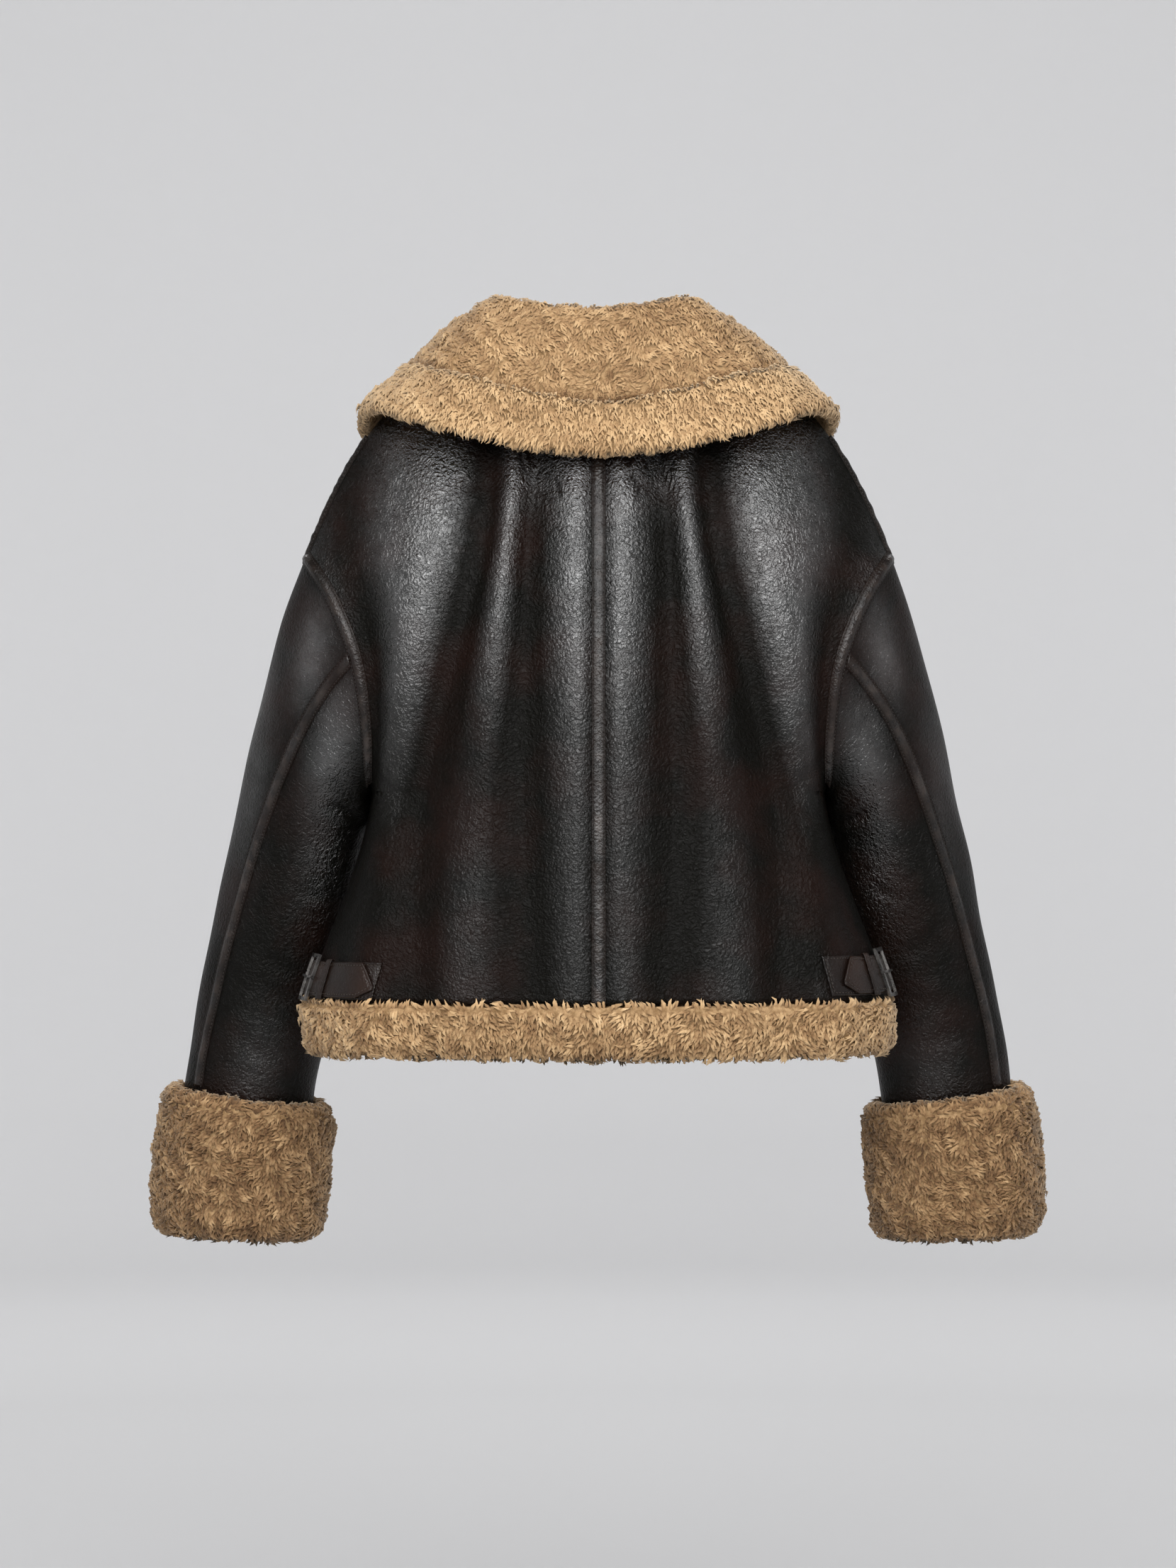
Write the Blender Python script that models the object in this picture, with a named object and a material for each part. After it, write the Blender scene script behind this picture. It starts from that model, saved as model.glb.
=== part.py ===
"""Cropped leather aviator jacket, shearling lined, filled out as if worn, seen best from behind.

Metres, +Z up. The origin is where the wearer's shoulders hold the jacket: midway between the two
neck points of the shoulder seams. The jacket's back faces -Y and its front faces +Y.
Every cloth piece is a wall between two grids of points, worked out from the sizes and tables below.
"""

import math

import bmesh
import bpy
import numpy as np

# General sizes
WALL = 0.004  # leather with its short pile
WALL_AT_COLLAR = 0.002  # without the pile, in the neck seam
SEAM_GAP = 0.0003
SIDES = {"left": -1.0, "right": 1.0}

# Torso heights: hem edge of the leather, armpit, armhole top, and the neck at the centre
HEM_Z = -0.5335
ARMPIT_Z = -0.361
TIP_Z = -0.163
NECK_Z = {"back": -0.018, "front": -0.075}
NECK_POWER = {"back": 2.0, "front": 1.5}  # how the neckline falls from the shoulder seam
ARMPIT_T = 0.34  # share of the panel's height that lies below the armpit

# Torso widths
TIP_X = 0.246
NECK_COLUMNS = 6
SHOULDER_COLUMNS = {"back": 22, "front": 11}
NECK_S = 3 / 14  # share of the top edge that is neckline, the rest is shoulder seam
NECK_HALF = TIP_X * math.sin(NECK_S * math.pi / 2)
SHOULDER_POWER = 2.62  # how the shoulder line falls away, from the photo's outline
FLATNESS = 0.8  # under 1 makes the sections flatter than an ellipse
ROUNDING = 4.0  # how late the panel turns over the shoulder
CROWN = 0.007  # how far the front stands over the shoulder seam

# Armhole
ARMHOLE_HALF_DEPTH = 0.060
ARMPIT_Y = 0.010
SHOULDER_Y = -0.018
FRONT_INSET = 0.006

SIDE_SEAM = {
    "z": (-0.600, -0.538, -0.500, -0.460, -0.420, -0.385, -0.361),
    "x": (0.2500, 0.2455, 0.2340, 0.2190, 0.2050, 0.1955, 0.1920),
    "y": (-0.015, -0.015, -0.014, -0.010, -0.003, 0.005, 0.010),
}
ARMHOLE = {
    "z": (-0.361, -0.325, -0.295, -0.268, -0.243, -0.217, -0.190, -0.163),
    "x": (0.1920, 0.1925, 0.1945, 0.1980, 0.2040, 0.2140, 0.2275, 0.2460),
}
CENTRE = {
    "back": {
        "z": (-0.600, -0.460, -0.360, -0.270, -0.180, -0.110, -0.060, -0.018),
        "y": (-0.133, -0.130, -0.126, -0.121, -0.113, -0.100, -0.085, -0.068),
    },
    "front": {
        "z": (-0.600, -0.480, -0.400, -0.320, -0.240, -0.170, -0.110, -0.075),
        "y": (0.114, 0.117, 0.119, 0.119, 0.113, 0.099, 0.074, 0.052),
    },
}

# Long soft folds of the back, from the centre seam out: where each ridge and valley lies
BACK_FOLDS = {
    "z": (-0.560, -0.500, -0.430, -0.360, -0.290, -0.220, -0.150, -0.090, -0.030),
    "seam": (0.000, 0.000, 0.000, 0.000, 0.000, 0.000, 0.000, 0.000, 0.000),
    "ridge_a": (0.016, 0.016, 0.016, 0.016, 0.016, 0.017, 0.018, 0.018, 0.018),
    "valley_a": (0.054, 0.056, 0.060, 0.062, 0.061, 0.060, 0.058, 0.052, 0.048),
    "ridge_b": (0.114, 0.113, 0.105, 0.098, 0.092, 0.084, 0.076, 0.070, 0.066),
    "valley_b": (0.150, 0.150, 0.150, 0.145, 0.130, 0.112, 0.094, 0.088, 0.084),
    "ridge_c": (0.190, 0.188, 0.181, 0.175, 0.165, 0.158, 0.150, 0.138, 0.130),
    "valley_c": (0.228, 0.223, 0.210, 0.196, 0.190, 0.193, 0.206, 0.204, 0.200),
    "edge": (0.262, 0.255, 0.240, 0.225, 0.222, 0.232, 0.250, 0.256, 0.260),
}
BACK_FOLD_HEIGHT = {
    "seam": -0.0010,
    "ridge_a": 0.0045,
    "valley_a": -0.0055,
    "ridge_b": 0.0035,
    "valley_b": -0.0055,
    "ridge_c": 0.0060,
    "valley_c": -0.0035,
    "edge": 0.0,
}
# The front hangs in fewer and softer folds
FRONT_FOLDS = {
    "z": (-0.560, -0.360, -0.220, -0.100),
    "placket": (0.000, 0.000, 0.000, 0.000),
    "valley_a": (0.050, 0.048, 0.046, 0.044),
    "ridge_a": (0.095, 0.088, 0.080, 0.072),
    "valley_b": (0.145, 0.132, 0.120, 0.105),
    "ridge_b": (0.192, 0.168, 0.155, 0.140),
    "edge": (0.255, 0.225, 0.235, 0.255),
}
FRONT_FOLD_HEIGHT = {
    "placket": 0.0,
    "valley_a": -0.0030,
    "ridge_a": 0.0040,
    "valley_b": -0.0040,
    "ridge_b": 0.0040,
    "edge": 0.0,
}
FOLD_FADE = {"z": (-0.560, -0.500, -0.420, -0.120, -0.050, 0.020), "share": (0.6, 0.8, 1.0, 1.0, 0.5, 0.2)}

# Panel rows, as shares of the height below and above the armpit
ROWS_BELOW = (0.0, 0.25, 0.5, 0.75)
ROWS_ABOVE = (0.0, 0.1, 0.2, 0.3, 0.42, 0.55, 0.67, 0.77, 0.86, 0.93, 0.975, 1.0)

# Sleeve sections from the armhole to the cuff's lower edge: outer and inner edge seen from behind,
# how far forward the middle lies, half the depth, and the angle of the back seam
SLEEVE = {
    "at": (0.0, 0.09, 0.17, 0.26, 0.36, 0.45, 0.54, 0.64, 0.74, 0.83, 0.92, 1.0),
    "out_x": (0.2460, 0.2655, 0.2802, 0.2947, 0.3077, 0.3208, 0.3313, 0.3433, 0.3541, 0.3608, 0.3665, 0.3690),
    "out_z": (-0.163, -0.211, -0.257, -0.309, -0.366, -0.419, -0.471, -0.527, -0.584, -0.636, -0.694, -0.744),
    "in_x": (0.1920, 0.1975, 0.1985, 0.1980, 0.1995, 0.2050, 0.2150, 0.2295, 0.2420, 0.2490, 0.2555, 0.2590),
    "in_z": (-0.361, -0.370, -0.380, -0.397, -0.426, -0.462, -0.501, -0.550, -0.602, -0.649, -0.700, -0.748),
    "mid_y": (-0.004, 0.018, 0.034, 0.050, 0.066, 0.076, 0.084, 0.092, 0.098, 0.103, 0.108, 0.112),
    "half_depth": (0.060, 0.062, 0.062, 0.061, 0.059, 0.057, 0.055, 0.053, 0.050, 0.047, 0.046, 0.046),
    "back_seam": (81.0, 77.0, 72.0, 66.0, 58.0, 52.0, 47.0, 43.0, 41.0, 40.0, 40.0, 40.0),
}
ARMHOLE_BACK_SEAM = 81.0
FRONT_SEAM = -104.4
SLEEVE_END = 0.87  # the leather stops inside the turned-up cuff
SLEEVE_GAP = 0.0008  # clear of the panels at the armhole
SETTLE = 0.42  # share of the sleeve over which the armhole's shape fades
SLEEVE_ROWS = (0.0, 0.035, 0.08, 0.13, 0.18, 0.24, 0.31, 0.38, 0.46, 0.54, 0.62, 0.70, 0.79, SLEEVE_END)

# Turned-up shearling cuff: (share down the cuff, distance off the sleeve), once round the section
CUFF_TOP = 0.798
CUFF_GAP = 0.0008
CUFF_SECTION = (
    (0.02, CUFF_GAP),
    (0.00, 0.0110),
    (0.06, 0.0185),
    (0.30, 0.0215),
    (0.62, 0.0222),
    (0.88, 0.0205),
    (0.985, 0.0135),
    (1.00, 0.0060),
    (0.97, CUFF_GAP),
    (0.50, CUFF_GAP),
)

# Seam tapes
TAPE_HALF = 0.0060
TAPE_LIFT = 0.0005
ARMPIT_LIFT = 5.0  # how much further off the armhole tape lies in the fold at the armpit
TAPE_THICK = 0.0016

# Shearling hem band: (outward, height) once round the section
HEM_BAND = (
    (0.0035, HEM_Z - SEAM_GAP),
    (0.0055, -0.5425),
    (0.0060, -0.5555),
    (0.0045, -0.5700),
    (-0.0010, -0.5785),
    (-0.0075, -0.5790),
    (-0.0115, -0.5700),
    (-0.0125, -0.5545),
    (-0.0120, HEM_Z - SEAM_GAP),
)
HEM_END = 0.0065  # where the band stops beside the zip
HEM_WAVE = 0.0012

# Collar: sections round the neck from the centre back (0) to the front end, in degrees.
# azimuth is the way the fall leans; r is measured out from the neck seam, z from the origin.
COLLAR = {
    "around": (-12.0, 0.0, 25.0, 50.0, 75.0, 100.0, 125.0, 150.0, 168.0),
    "azimuth": (-15.0, 0.0, 31.0, 50.0, 70.0, 91.0, 114.0, 131.0, 145.0),
    "fold_r": (0.012, 0.012, 0.012, 0.014, 0.014, 0.013, 0.013, 0.013, 0.013),
    "fold_z": (0.044, 0.0420, 0.0460, 0.053, 0.050, 0.0435, 0.024, -0.004, -0.029),
    "seam_r": (0.046, 0.045, 0.055, 0.073, 0.081, 0.083, 0.089, 0.091, 0.083),
    "seam_z": (-0.039, -0.041, -0.031, -0.016, -0.007, -0.008, -0.032, -0.072, -0.103),
    "edge_r": (0.050, 0.049, 0.066, 0.094, 0.108, 0.1155, 0.121, 0.118, 0.105),
    "edge_z": (-0.078, -0.0785, -0.0715, -0.055, -0.039, -0.046, -0.079, -0.121, -0.150),
}
COLLAR_END = 165.0
COLLAR_STEP = 7.5
NECK_STEP = 90.0 / NECK_COLUMNS
FOOT_LIFT = 0.0010
COLLAR_ASKEW = -0.004  # the fold's top sits a little to the left
COLLAR_WALL = 0.012
STAND_INSIDE = -0.011
STAND_OUTSIDE = 0.0012
FALL_BULGE = 0.004
BORDER_HALF = 0.0082
BORDER_TOP = 0.80  # the border is flatter where it meets the seam
BORDER_SIDES = 10

# Waist tabs: heights and ends, measured round the side from the side seam, + towards the back
WAIST = {
    "left": {"low": -0.5322, "high": -0.5010, "tab_end": 0.1130, "tip": 0.1095},
    "right": {"low": -0.5290, "high": -0.4960, "tab_end": 0.1030, "tip": 0.0890},
}
TAB_START = 0.004
STRAP_START = -0.085
STRAP_POINT = 0.015
STRAP_INSET = 0.0012
KEEPER_AT = 0.052
KEEPER_HALF = 0.0038
BUCKLE_AT = 0.024
BUCKLE_HALF = 0.0115
BUCKLE_WIRE = 0.0030
BUCKLE_PROUD = 0.0035
TAB_LOW, TAB_HIGH = 0.0008, 0.0026
KEEPER_LOW, KEEPER_MID = 0.0030, 0.0036
STRAP_LOW, STRAP_HIGH = 0.0040, 0.0060
KEEPER_TOP_LOW, KEEPER_TOP = 0.0064, 0.0078
BUCKLE_LOW, BUCKLE_HIGH = 0.0064, 0.0086
PRONG_LOW, PRONG_HIGH = 0.0090, 0.0106

# Front zip
ZIP_SLOT = 0.0042
TEETH_HALF = 0.0036
TAPE_OUT = 0.016
ZIP_TAPE_THICK = 0.0008
ZIP_LOW_Z = -0.575
SLIDER_Z = -0.108
SLIDER_HALF = 0.0040
SLIDER_LONG = 0.0070
SLIDER_LIFT = 0.0006
SLIDER_THICK = 0.0026
BRIDGE_HALF = 0.0018
BRIDGE_TOP = 0.0070
PIVOT_HEIGHT = 0.0048
PULL_WIRE = 0.0007
PULL_HALF = 0.0042
PULL_LENGTH = 0.026

COLOURS = {
    "leather": ((0.030, 0.018, 0.014), 0.35, 0.0),
    "shearling": ((0.50, 0.33, 0.18), 0.95, 0.0),
    "metal": ((0.16, 0.15, 0.14), 0.35, 1.0),
    "zip_cloth": ((0.03, 0.02, 0.018), 0.85, 0.0),
}


def clear_scene():
    for obj in list(bpy.data.objects):
        bpy.data.objects.remove(obj, do_unlink=True)


def material(name):
    colour, roughness, metallic = COLOURS[name]
    made = bpy.data.materials.get(name) or bpy.data.materials.new(name)
    made.use_nodes = True
    shader = made.node_tree.nodes["Principled BSDF"]
    shader.inputs["Base Color"].default_value = (*colour, 1.0)
    shader.inputs["Roughness"].default_value = roughness
    shader.inputs["Metallic"].default_value = metallic
    return made


def smooth_curve(knots, values, at):
    """A smooth curve through the table's values, read at one place or many."""
    knots = np.asarray(knots, float)
    values = np.asarray(values, float)
    at = np.asarray(at, float)
    slopes = np.gradient(values, knots)
    i = np.clip(np.searchsorted(knots, at, side="right") - 1, 0, len(knots) - 2)
    step = knots[i + 1] - knots[i]
    u = np.clip((at - knots[i]) / step, 0, 1)
    start = (1 + 2 * u) * (1 - u) ** 2 * values[i] + u * (1 - u) ** 2 * step * slopes[i]
    end = u * u * (3 - 2 * u) * values[i + 1] - u * u * (1 - u) * step * slopes[i + 1]
    return start + end


def unit(v):
    return v / np.maximum(np.linalg.norm(v, axis=-1, keepdims=True), 1e-12)


def mirrored(points, side):
    return points * np.array([side, 1.0, 1.0])


# Torso

def torso(face, s, t):
    """Smooth outer surface of the right half. s runs from the centre line (0) to the side seam or
    armhole (1), t from the hem (0) to the neckline and shoulder seam (1)."""
    s, t = np.broadcast_arrays(np.asarray(s, float), np.asarray(t, float))
    outward = -1.0 if face == "back" else 1.0
    below = t < ARMPIT_T
    low = np.clip(t / ARMPIT_T, 0, 1)
    rise = np.clip((t - ARMPIT_T) / (1 - ARMPIT_T), 0, 1)
    neck_z = NECK_Z[face]
    low_z = HEM_Z + (ARMPIT_Z - HEM_Z) * low
    centre_z = np.where(below, low_z, ARMPIT_Z + (neck_z - ARMPIT_Z) * rise)
    ring_z = (ARMPIT_Z + TIP_Z) / 2 - (TIP_Z - ARMPIT_Z) / 2 * np.cos(math.pi * rise)
    edge_z = np.where(below, low_z, ring_z)
    ring_x = smooth_curve(ARMHOLE["z"], ARMHOLE["x"], ring_z)
    if face == "front":
        ring_x = ring_x - FRONT_INSET * np.sin(math.pi * rise) ** 2
    edge_x = np.where(below, smooth_curve(SIDE_SEAM["z"], SIDE_SEAM["x"], low_z), ring_x)
    ring_mid = ARMPIT_Y + (SHOULDER_Y - ARMPIT_Y) * rise
    mid_y = np.where(below, smooth_curve(SIDE_SEAM["z"], SIDE_SEAM["y"], low_z), ring_mid)
    edge_y = mid_y + outward * ARMHOLE_HALF_DEPTH * np.where(below, 0.0, np.sin(math.pi * rise))
    centre_y = smooth_curve(CENTRE[face]["z"], CENTRE[face]["y"], centre_z)

    reach = np.clip((edge_y - mid_y) / (centre_y - mid_y), 0, 1)
    most = np.arccos(reach ** (1 / FLATNESS))
    across = np.sin(s * most) / np.sin(most)
    x = edge_x * across
    y = mid_y + (centre_y - mid_y) * np.clip(np.cos(s * most), 0, 1) ** FLATNESS

    top_x = TIP_X * np.sin(s * math.pi / 2)
    edge_share = rise**24
    in_neck = np.sqrt(np.clip(1 - (top_x / NECK_HALF) ** 2, 0, 1)) * edge_share
    in_neck = in_neck + np.exp(-1.1 * (top_x / NECK_HALF) ** 2) * (1 - edge_share)
    neck_y = float(CENTRE[face]["y"][-1])
    seam_y = SHOULDER_Y + (neck_y - SHOULDER_Y) * in_neck
    plain_y = SHOULDER_Y + (neck_y - SHOULDER_Y) * np.clip(np.cos(s * math.pi / 2), 0, 1) ** FLATNESS
    turn = 1 - np.sqrt(np.clip(1 - rise**ROUNDING, 0, 1))
    y = y + turn * (seam_y - plain_y)

    past_neck = np.clip((top_x - NECK_HALF) / (TIP_X - NECK_HALF), 0, 1)
    neck_part = neck_z * in_neck ** NECK_POWER[face]
    top_z = neck_part + TIP_Z * past_neck**SHOULDER_POWER
    top_shape = (neck_z - top_z) / (neck_z - TIP_Z)
    shape = (1 - rise**3) * across**2.6 + rise**3 * top_shape
    z = centre_z - (centre_z - edge_z) * shape
    if face == "front":
        late = rise**8
        past_collar = np.clip((s - NECK_S) / 0.2, 0, 1) ** 2
        z = z + CROWN * 4 * late * (1 - late) * past_collar * (1 - s**6)
    return np.stack([x, y, z], axis=-1)


def torso_normal(face, s, t):
    step = 1e-3
    along_s = torso(face, np.minimum(s + step, 1), t) - torso(face, np.maximum(s - step, 0), t)
    along_t = torso(face, s, np.minimum(t + step, 1)) - torso(face, s, np.maximum(t - step, 0))
    normal = unit(np.cross(along_s, along_t))
    return normal if face == "back" else -normal


def fold_height(face, x, z):
    """Height of the long folds, as half waves between each ridge and the valley beside it."""
    table = BACK_FOLDS if face == "back" else FRONT_FOLDS
    heights = BACK_FOLD_HEIGHT if face == "back" else FRONT_FOLD_HEIGHT
    names = list(heights)
    places = [smooth_curve(table["z"], table[name], z) for name in names]
    height = np.zeros_like(x)
    for i in range(len(names) - 1):
        u = (x - places[i]) / np.maximum(places[i + 1] - places[i], 1e-6)
        wave = heights[names[i]] + (heights[names[i + 1]] - heights[names[i]]) * (1 - np.cos(math.pi * u)) / 2
        height = np.where((u >= 0) & (u < 1), wave, height)
    return height * smooth_curve(FOLD_FADE["z"], FOLD_FADE["share"], z)


ARMHOLE_CENTRE = np.array([0.2190, -0.004, -0.262])
ARMPIT_TURN = 0.8
ARMHOLE_AXIS = unit(np.array([TIP_Z - ARMPIT_Z, 0.0, -(TIP_X - ARMHOLE["x"][0])]))


def armhole_direction(points):
    """The wall's direction round the armhole: out of its ring, and turned to the side at the armpit."""
    off = points - ARMHOLE_CENTRE
    off = off - (off @ ARMHOLE_AXIS)[..., None] * ARMHOLE_AXIS
    low = np.clip((TIP_Z - points[..., 2]) / (TIP_Z - ARMPIT_Z), 0, 1)
    return unit(unit(off) + (low**3)[..., None] * np.array([ARMPIT_TURN, 0.0, 0.0]))


def across_seam(line):
    """The wall's direction along a seam that both panels share: square to it, and free of y."""
    way = np.gradient(line, axis=0)
    across = np.stack([np.abs(way[:, 2]), 0 * way[:, 0], -way[:, 0] * np.sign(way[:, 2])], axis=1)
    return unit(across)


def panel(face, s, t):
    """Folded outer surface of the right half and its wall directions, for columns s and rows t."""
    cols, rows = np.meshgrid(s, t, indexing="ij")
    base = torso(face, cols, rows)
    normal = torso_normal(face, cols, rows)
    calm = np.clip((1 - cols) / 0.08, 0, 1) * np.clip((1 - rows) / 0.05, 0, 1)
    outer = base + normal * (fold_height(face, base[..., 0], base[..., 2]) * calm)[..., None]
    on_armhole = (cols >= 1) & (rows >= ARMPIT_T)
    direction = np.where(on_armhole[..., None], armhole_direction(base), normal)
    return outer, direction


def whole_panel(face):
    """The panel's own grid, with its hem level and its seam edges made alike on both panels."""
    s, t = panel_columns(face), panel_rows()
    outer, direction = panel(face, s, t)
    below = len(ROWS_BELOW)
    direction[-1, :below] = across_seam(outer[-1, : below + 1])[:below]
    outer[:, 0, 2] = HEM_Z
    direction[:, 0] = unit(direction[:, 0] * (1, 1, 0))
    shoulder = across_seam(outer[NECK_COLUMNS:, -1])
    direction[NECK_COLUMNS:-1, -1] = shoulder[:-1]
    direction[:NECK_COLUMNS, -1] = direction[:NECK_COLUMNS, -2]
    return outer, direction


def panel_columns(face):
    """Even steps round the neck, then even steps out along the shoulder."""
    turns = np.linspace(0, math.pi / 2, NECK_COLUMNS + 1)
    neck = np.arcsin(NECK_HALF / TIP_X * np.sin(turns)) * 2 / math.pi
    return np.concatenate([neck, np.linspace(NECK_S, 1, SHOULDER_COLUMNS[face] + 1)[1:]])


def panel_rows():
    below = [ARMPIT_T * share for share in ROWS_BELOW]
    above = [ARMPIT_T + (1 - ARMPIT_T) * share for share in ROWS_ABOVE]
    return np.array(below + above)


# Sleeve

def armhole_ring(angle):
    """The armhole's edge at an angle in radians: 0 at the shoulder tip, a quarter turn at the back."""
    turn = np.mod(angle, 2 * math.pi)
    at_back = turn <= math.pi
    rise = np.where(at_back, 1 - turn / math.pi, turn / math.pi - 1)
    t = ARMPIT_T + (1 - ARMPIT_T) * rise
    ones = np.ones_like(t)
    return np.where(at_back[..., None], torso("back", ones, t), torso("front", ones, t))


def sleeve_section(angle, at):
    """Elliptical section of the sleeve, leaning as its outer and inner edges lie."""
    out_x, out_z, in_x, in_z, mid_y, half_depth = (
        smooth_curve(SLEEVE["at"], SLEEVE[name], at)
        for name in ("out_x", "out_z", "in_x", "in_z", "mid_y", "half_depth")
    )
    x = (out_x + in_x) / 2 + (out_x - in_x) / 2 * np.cos(angle)
    z = (out_z + in_z) / 2 + (out_z - in_z) / 2 * np.cos(angle)
    y = mid_y - half_depth * np.sin(angle)
    return np.stack([x, y, z], axis=-1)


def sleeve(angle, at):
    """Outer surface of the right sleeve. The first ring is the armhole's own edge."""
    angle, at = np.broadcast_arrays(np.asarray(angle, float), np.asarray(at, float))
    fade = np.clip(1 - at / SETTLE, 0, 1) ** 2
    away = armhole_ring(angle) - sleeve_section(angle, np.zeros_like(at))
    return sleeve_section(angle, at) + away * fade[..., None] + ARMHOLE_AXIS * SLEEVE_GAP


def sleeve_normal(angle, at):
    step = 1e-3
    around = sleeve(angle + step, at) - sleeve(angle - step, at)
    down = sleeve(angle, np.minimum(at + step, 1)) - sleeve(angle, np.maximum(at - step, 0))
    normal = unit(np.cross(around, down))
    return np.where(np.asarray(at)[..., None] <= 0, armhole_direction(armhole_ring(angle)), normal)


def seam_warp(ring_angle, at):
    """Angle on the sleeve of the column that starts at ring_angle on the armhole, in degrees.
    The back seam's own column wanders from the back to the outer side as it goes down."""
    seam = smooth_curve(SLEEVE["at"], SLEEVE["back_seam"], at)
    near = ring_angle * seam / ARMHOLE_BACK_SEAM
    far = 180 - (180 - ring_angle) * (180 - seam) / (180 - ARMHOLE_BACK_SEAM)
    warped = np.where(ring_angle <= ARMHOLE_BACK_SEAM, near, far)
    return np.where((ring_angle > 0) & (ring_angle < 180), warped, ring_angle)


def sleeve_grid(ring_angles, rows):
    """Outer points and wall directions of the sleeve for those armhole angles, in degrees."""
    angles, at = np.meshgrid(np.asarray(ring_angles, float), np.asarray(rows, float), indexing="ij")
    angle = np.radians(seam_warp(angles, at))
    return sleeve(angle, at), sleeve_normal(angle, at)


def ring_angles():
    """Angles of the sleeve's columns over the half turn, matching the panels' rows."""
    return [180 * (1 - share) for share in ROWS_ABOVE]


# Meshes from grids

def finish_object(name, vertices, faces, finish, smooth=True):
    mesh = bpy.data.meshes.new(name)
    mesh.from_pydata([tuple(v) for v in vertices], [], faces)
    work = bmesh.new()
    work.from_mesh(mesh)
    bmesh.ops.recalc_face_normals(work, faces=work.faces)
    if work.calc_volume(signed=True) < 0:
        bmesh.ops.reverse_faces(work, faces=work.faces)
    work.to_mesh(mesh)
    work.free()
    if smooth:
        mesh.shade_smooth()
        mesh.set_sharp_from_angle(angle=math.radians(40))
    mesh.materials.append(material(finish))
    obj = bpy.data.objects.new(name, mesh)
    bpy.context.scene.collection.objects.link(obj)
    return obj


def grid_faces(count_u, count_v, wrap_u, wrap_v, first=0, flip=False):
    faces = []
    for i in range(count_u if wrap_u else count_u - 1):
        for j in range(count_v if wrap_v else count_v - 1):
            i2, j2 = (i + 1) % count_u, (j + 1) % count_v
            a, b, c, d = (first + k * count_v + m for k, m in ((i, j), (i2, j), (i2, j2), (i, j2)))
            faces += [[c, b, a], [d, c, a]] if flip else [[a, b, c], [a, c, d]]
    return faces


def wall(name, outer, inner, finish, wrap_u=False, wrap_v=False):
    """A closed wall between two grids of points of the same shape."""
    count_u, count_v = outer.shape[:2]
    size = count_u * count_v
    vertices = np.concatenate([outer.reshape(-1, 3), inner.reshape(-1, 3)])
    faces = grid_faces(count_u, count_v, wrap_u, wrap_v)
    faces += grid_faces(count_u, count_v, wrap_u, wrap_v, size, True)
    for i in [] if wrap_u else [0, count_u - 1]:
        for j in range(count_v if wrap_v else count_v - 1):
            a, b = i * count_v + j, i * count_v + (j + 1) % count_v
            faces.append([a, b, b + size, a + size])
    for j in [] if wrap_v else [0, count_v - 1]:
        for i in range(count_u if wrap_u else count_u - 1):
            a, b = i * count_v + j, ((i + 1) % count_u) * count_v + j
            faces.append([a, b, b + size, a + size])
    return finish_object(name, vertices, faces, finish)


def loft(name, rings, finish, closed_path=False, smooth=True):
    """A solid through closed section rings, with flat ends unless its path closes too."""
    count_u, count_v = rings.shape[:2]
    faces = grid_faces(count_u, count_v, closed_path, True)
    if not closed_path:
        faces.append(list(range(count_v)))
        faces.append([(count_u - 1) * count_v + j for j in range(count_v)])
    return finish_object(name, rings.reshape(-1, 3), faces, finish, smooth)


# Points on the faceted walls, so that what lies on a panel follows its facets

def along(line, distance):
    """The point that far along a line of points, from its first point."""
    for a, b in zip(line[:-1], line[1:]):
        length = float(np.linalg.norm(b - a))
        if distance <= length:
            return a + (b - a) * distance / length
        distance -= length
    return line[-1]


def strip(name, middle, first_lines, second_lines, normals, finish="leather"):
    """A flat tape over a seam. Each station has its middle point, the line of facets to either side
    and the way out. The tape lies TAPE_LIFT off them."""
    lower, upper = [], []
    ways = unit(np.gradient(np.array(middle), axis=0))
    for point, first, second, out, way in zip(middle, first_lines, second_lines, normals, ways):
        edges = [along(first, TAPE_HALF), along(second, TAPE_HALF)]
        row = [edges[0], point, edges[1]]
        squares = [abs(float(unit(np.cross(way, unit(edge - point))) @ unit(out))) for edge in edges]
        steep = 1 / max(min(squares), 0.4)
        lower.append([p + out * TAPE_LIFT * steep for p in row])
        heights = (0.75 * TAPE_THICK, TAPE_THICK, 0.75 * TAPE_THICK)
        upper.append([p + (out * TAPE_LIFT + unit(out) * h) * steep for p, h in zip(row, heights)])
    return wall(name, np.array(upper), np.array(lower), finish)


# The garment's pieces

def make_panels():
    made = {}
    for side_name, side in SIDES.items():
        for face, start, trim in (("back", SEAM_GAP / 2, -SEAM_GAP / 2), ("front", ZIP_SLOT, SEAM_GAP / 2)):
            outer, direction = whole_panel(face)
            thick = np.full(outer.shape[:2], WALL)
            thick[: NECK_COLUMNS + 1, -2:] = WALL_AT_COLLAR
            inner = outer - direction * thick[..., None]
            for grid in (outer, inner):
                grid[0, :, 0] = start
                grid[NECK_COLUMNS:, -1, 1] += trim
                grid[-1, : len(ROWS_BELOW) + 1, 1] += trim
            made[face, side_name] = (mirrored(outer, side), mirrored(direction, side))
            wall(f"{face}_{side_name}", mirrored(outer, side), mirrored(inner, side), "leather")
    return made


def nearest(values, wanted):
    return min(range(len(values)), key=lambda i: abs(values[i] - wanted))


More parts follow.
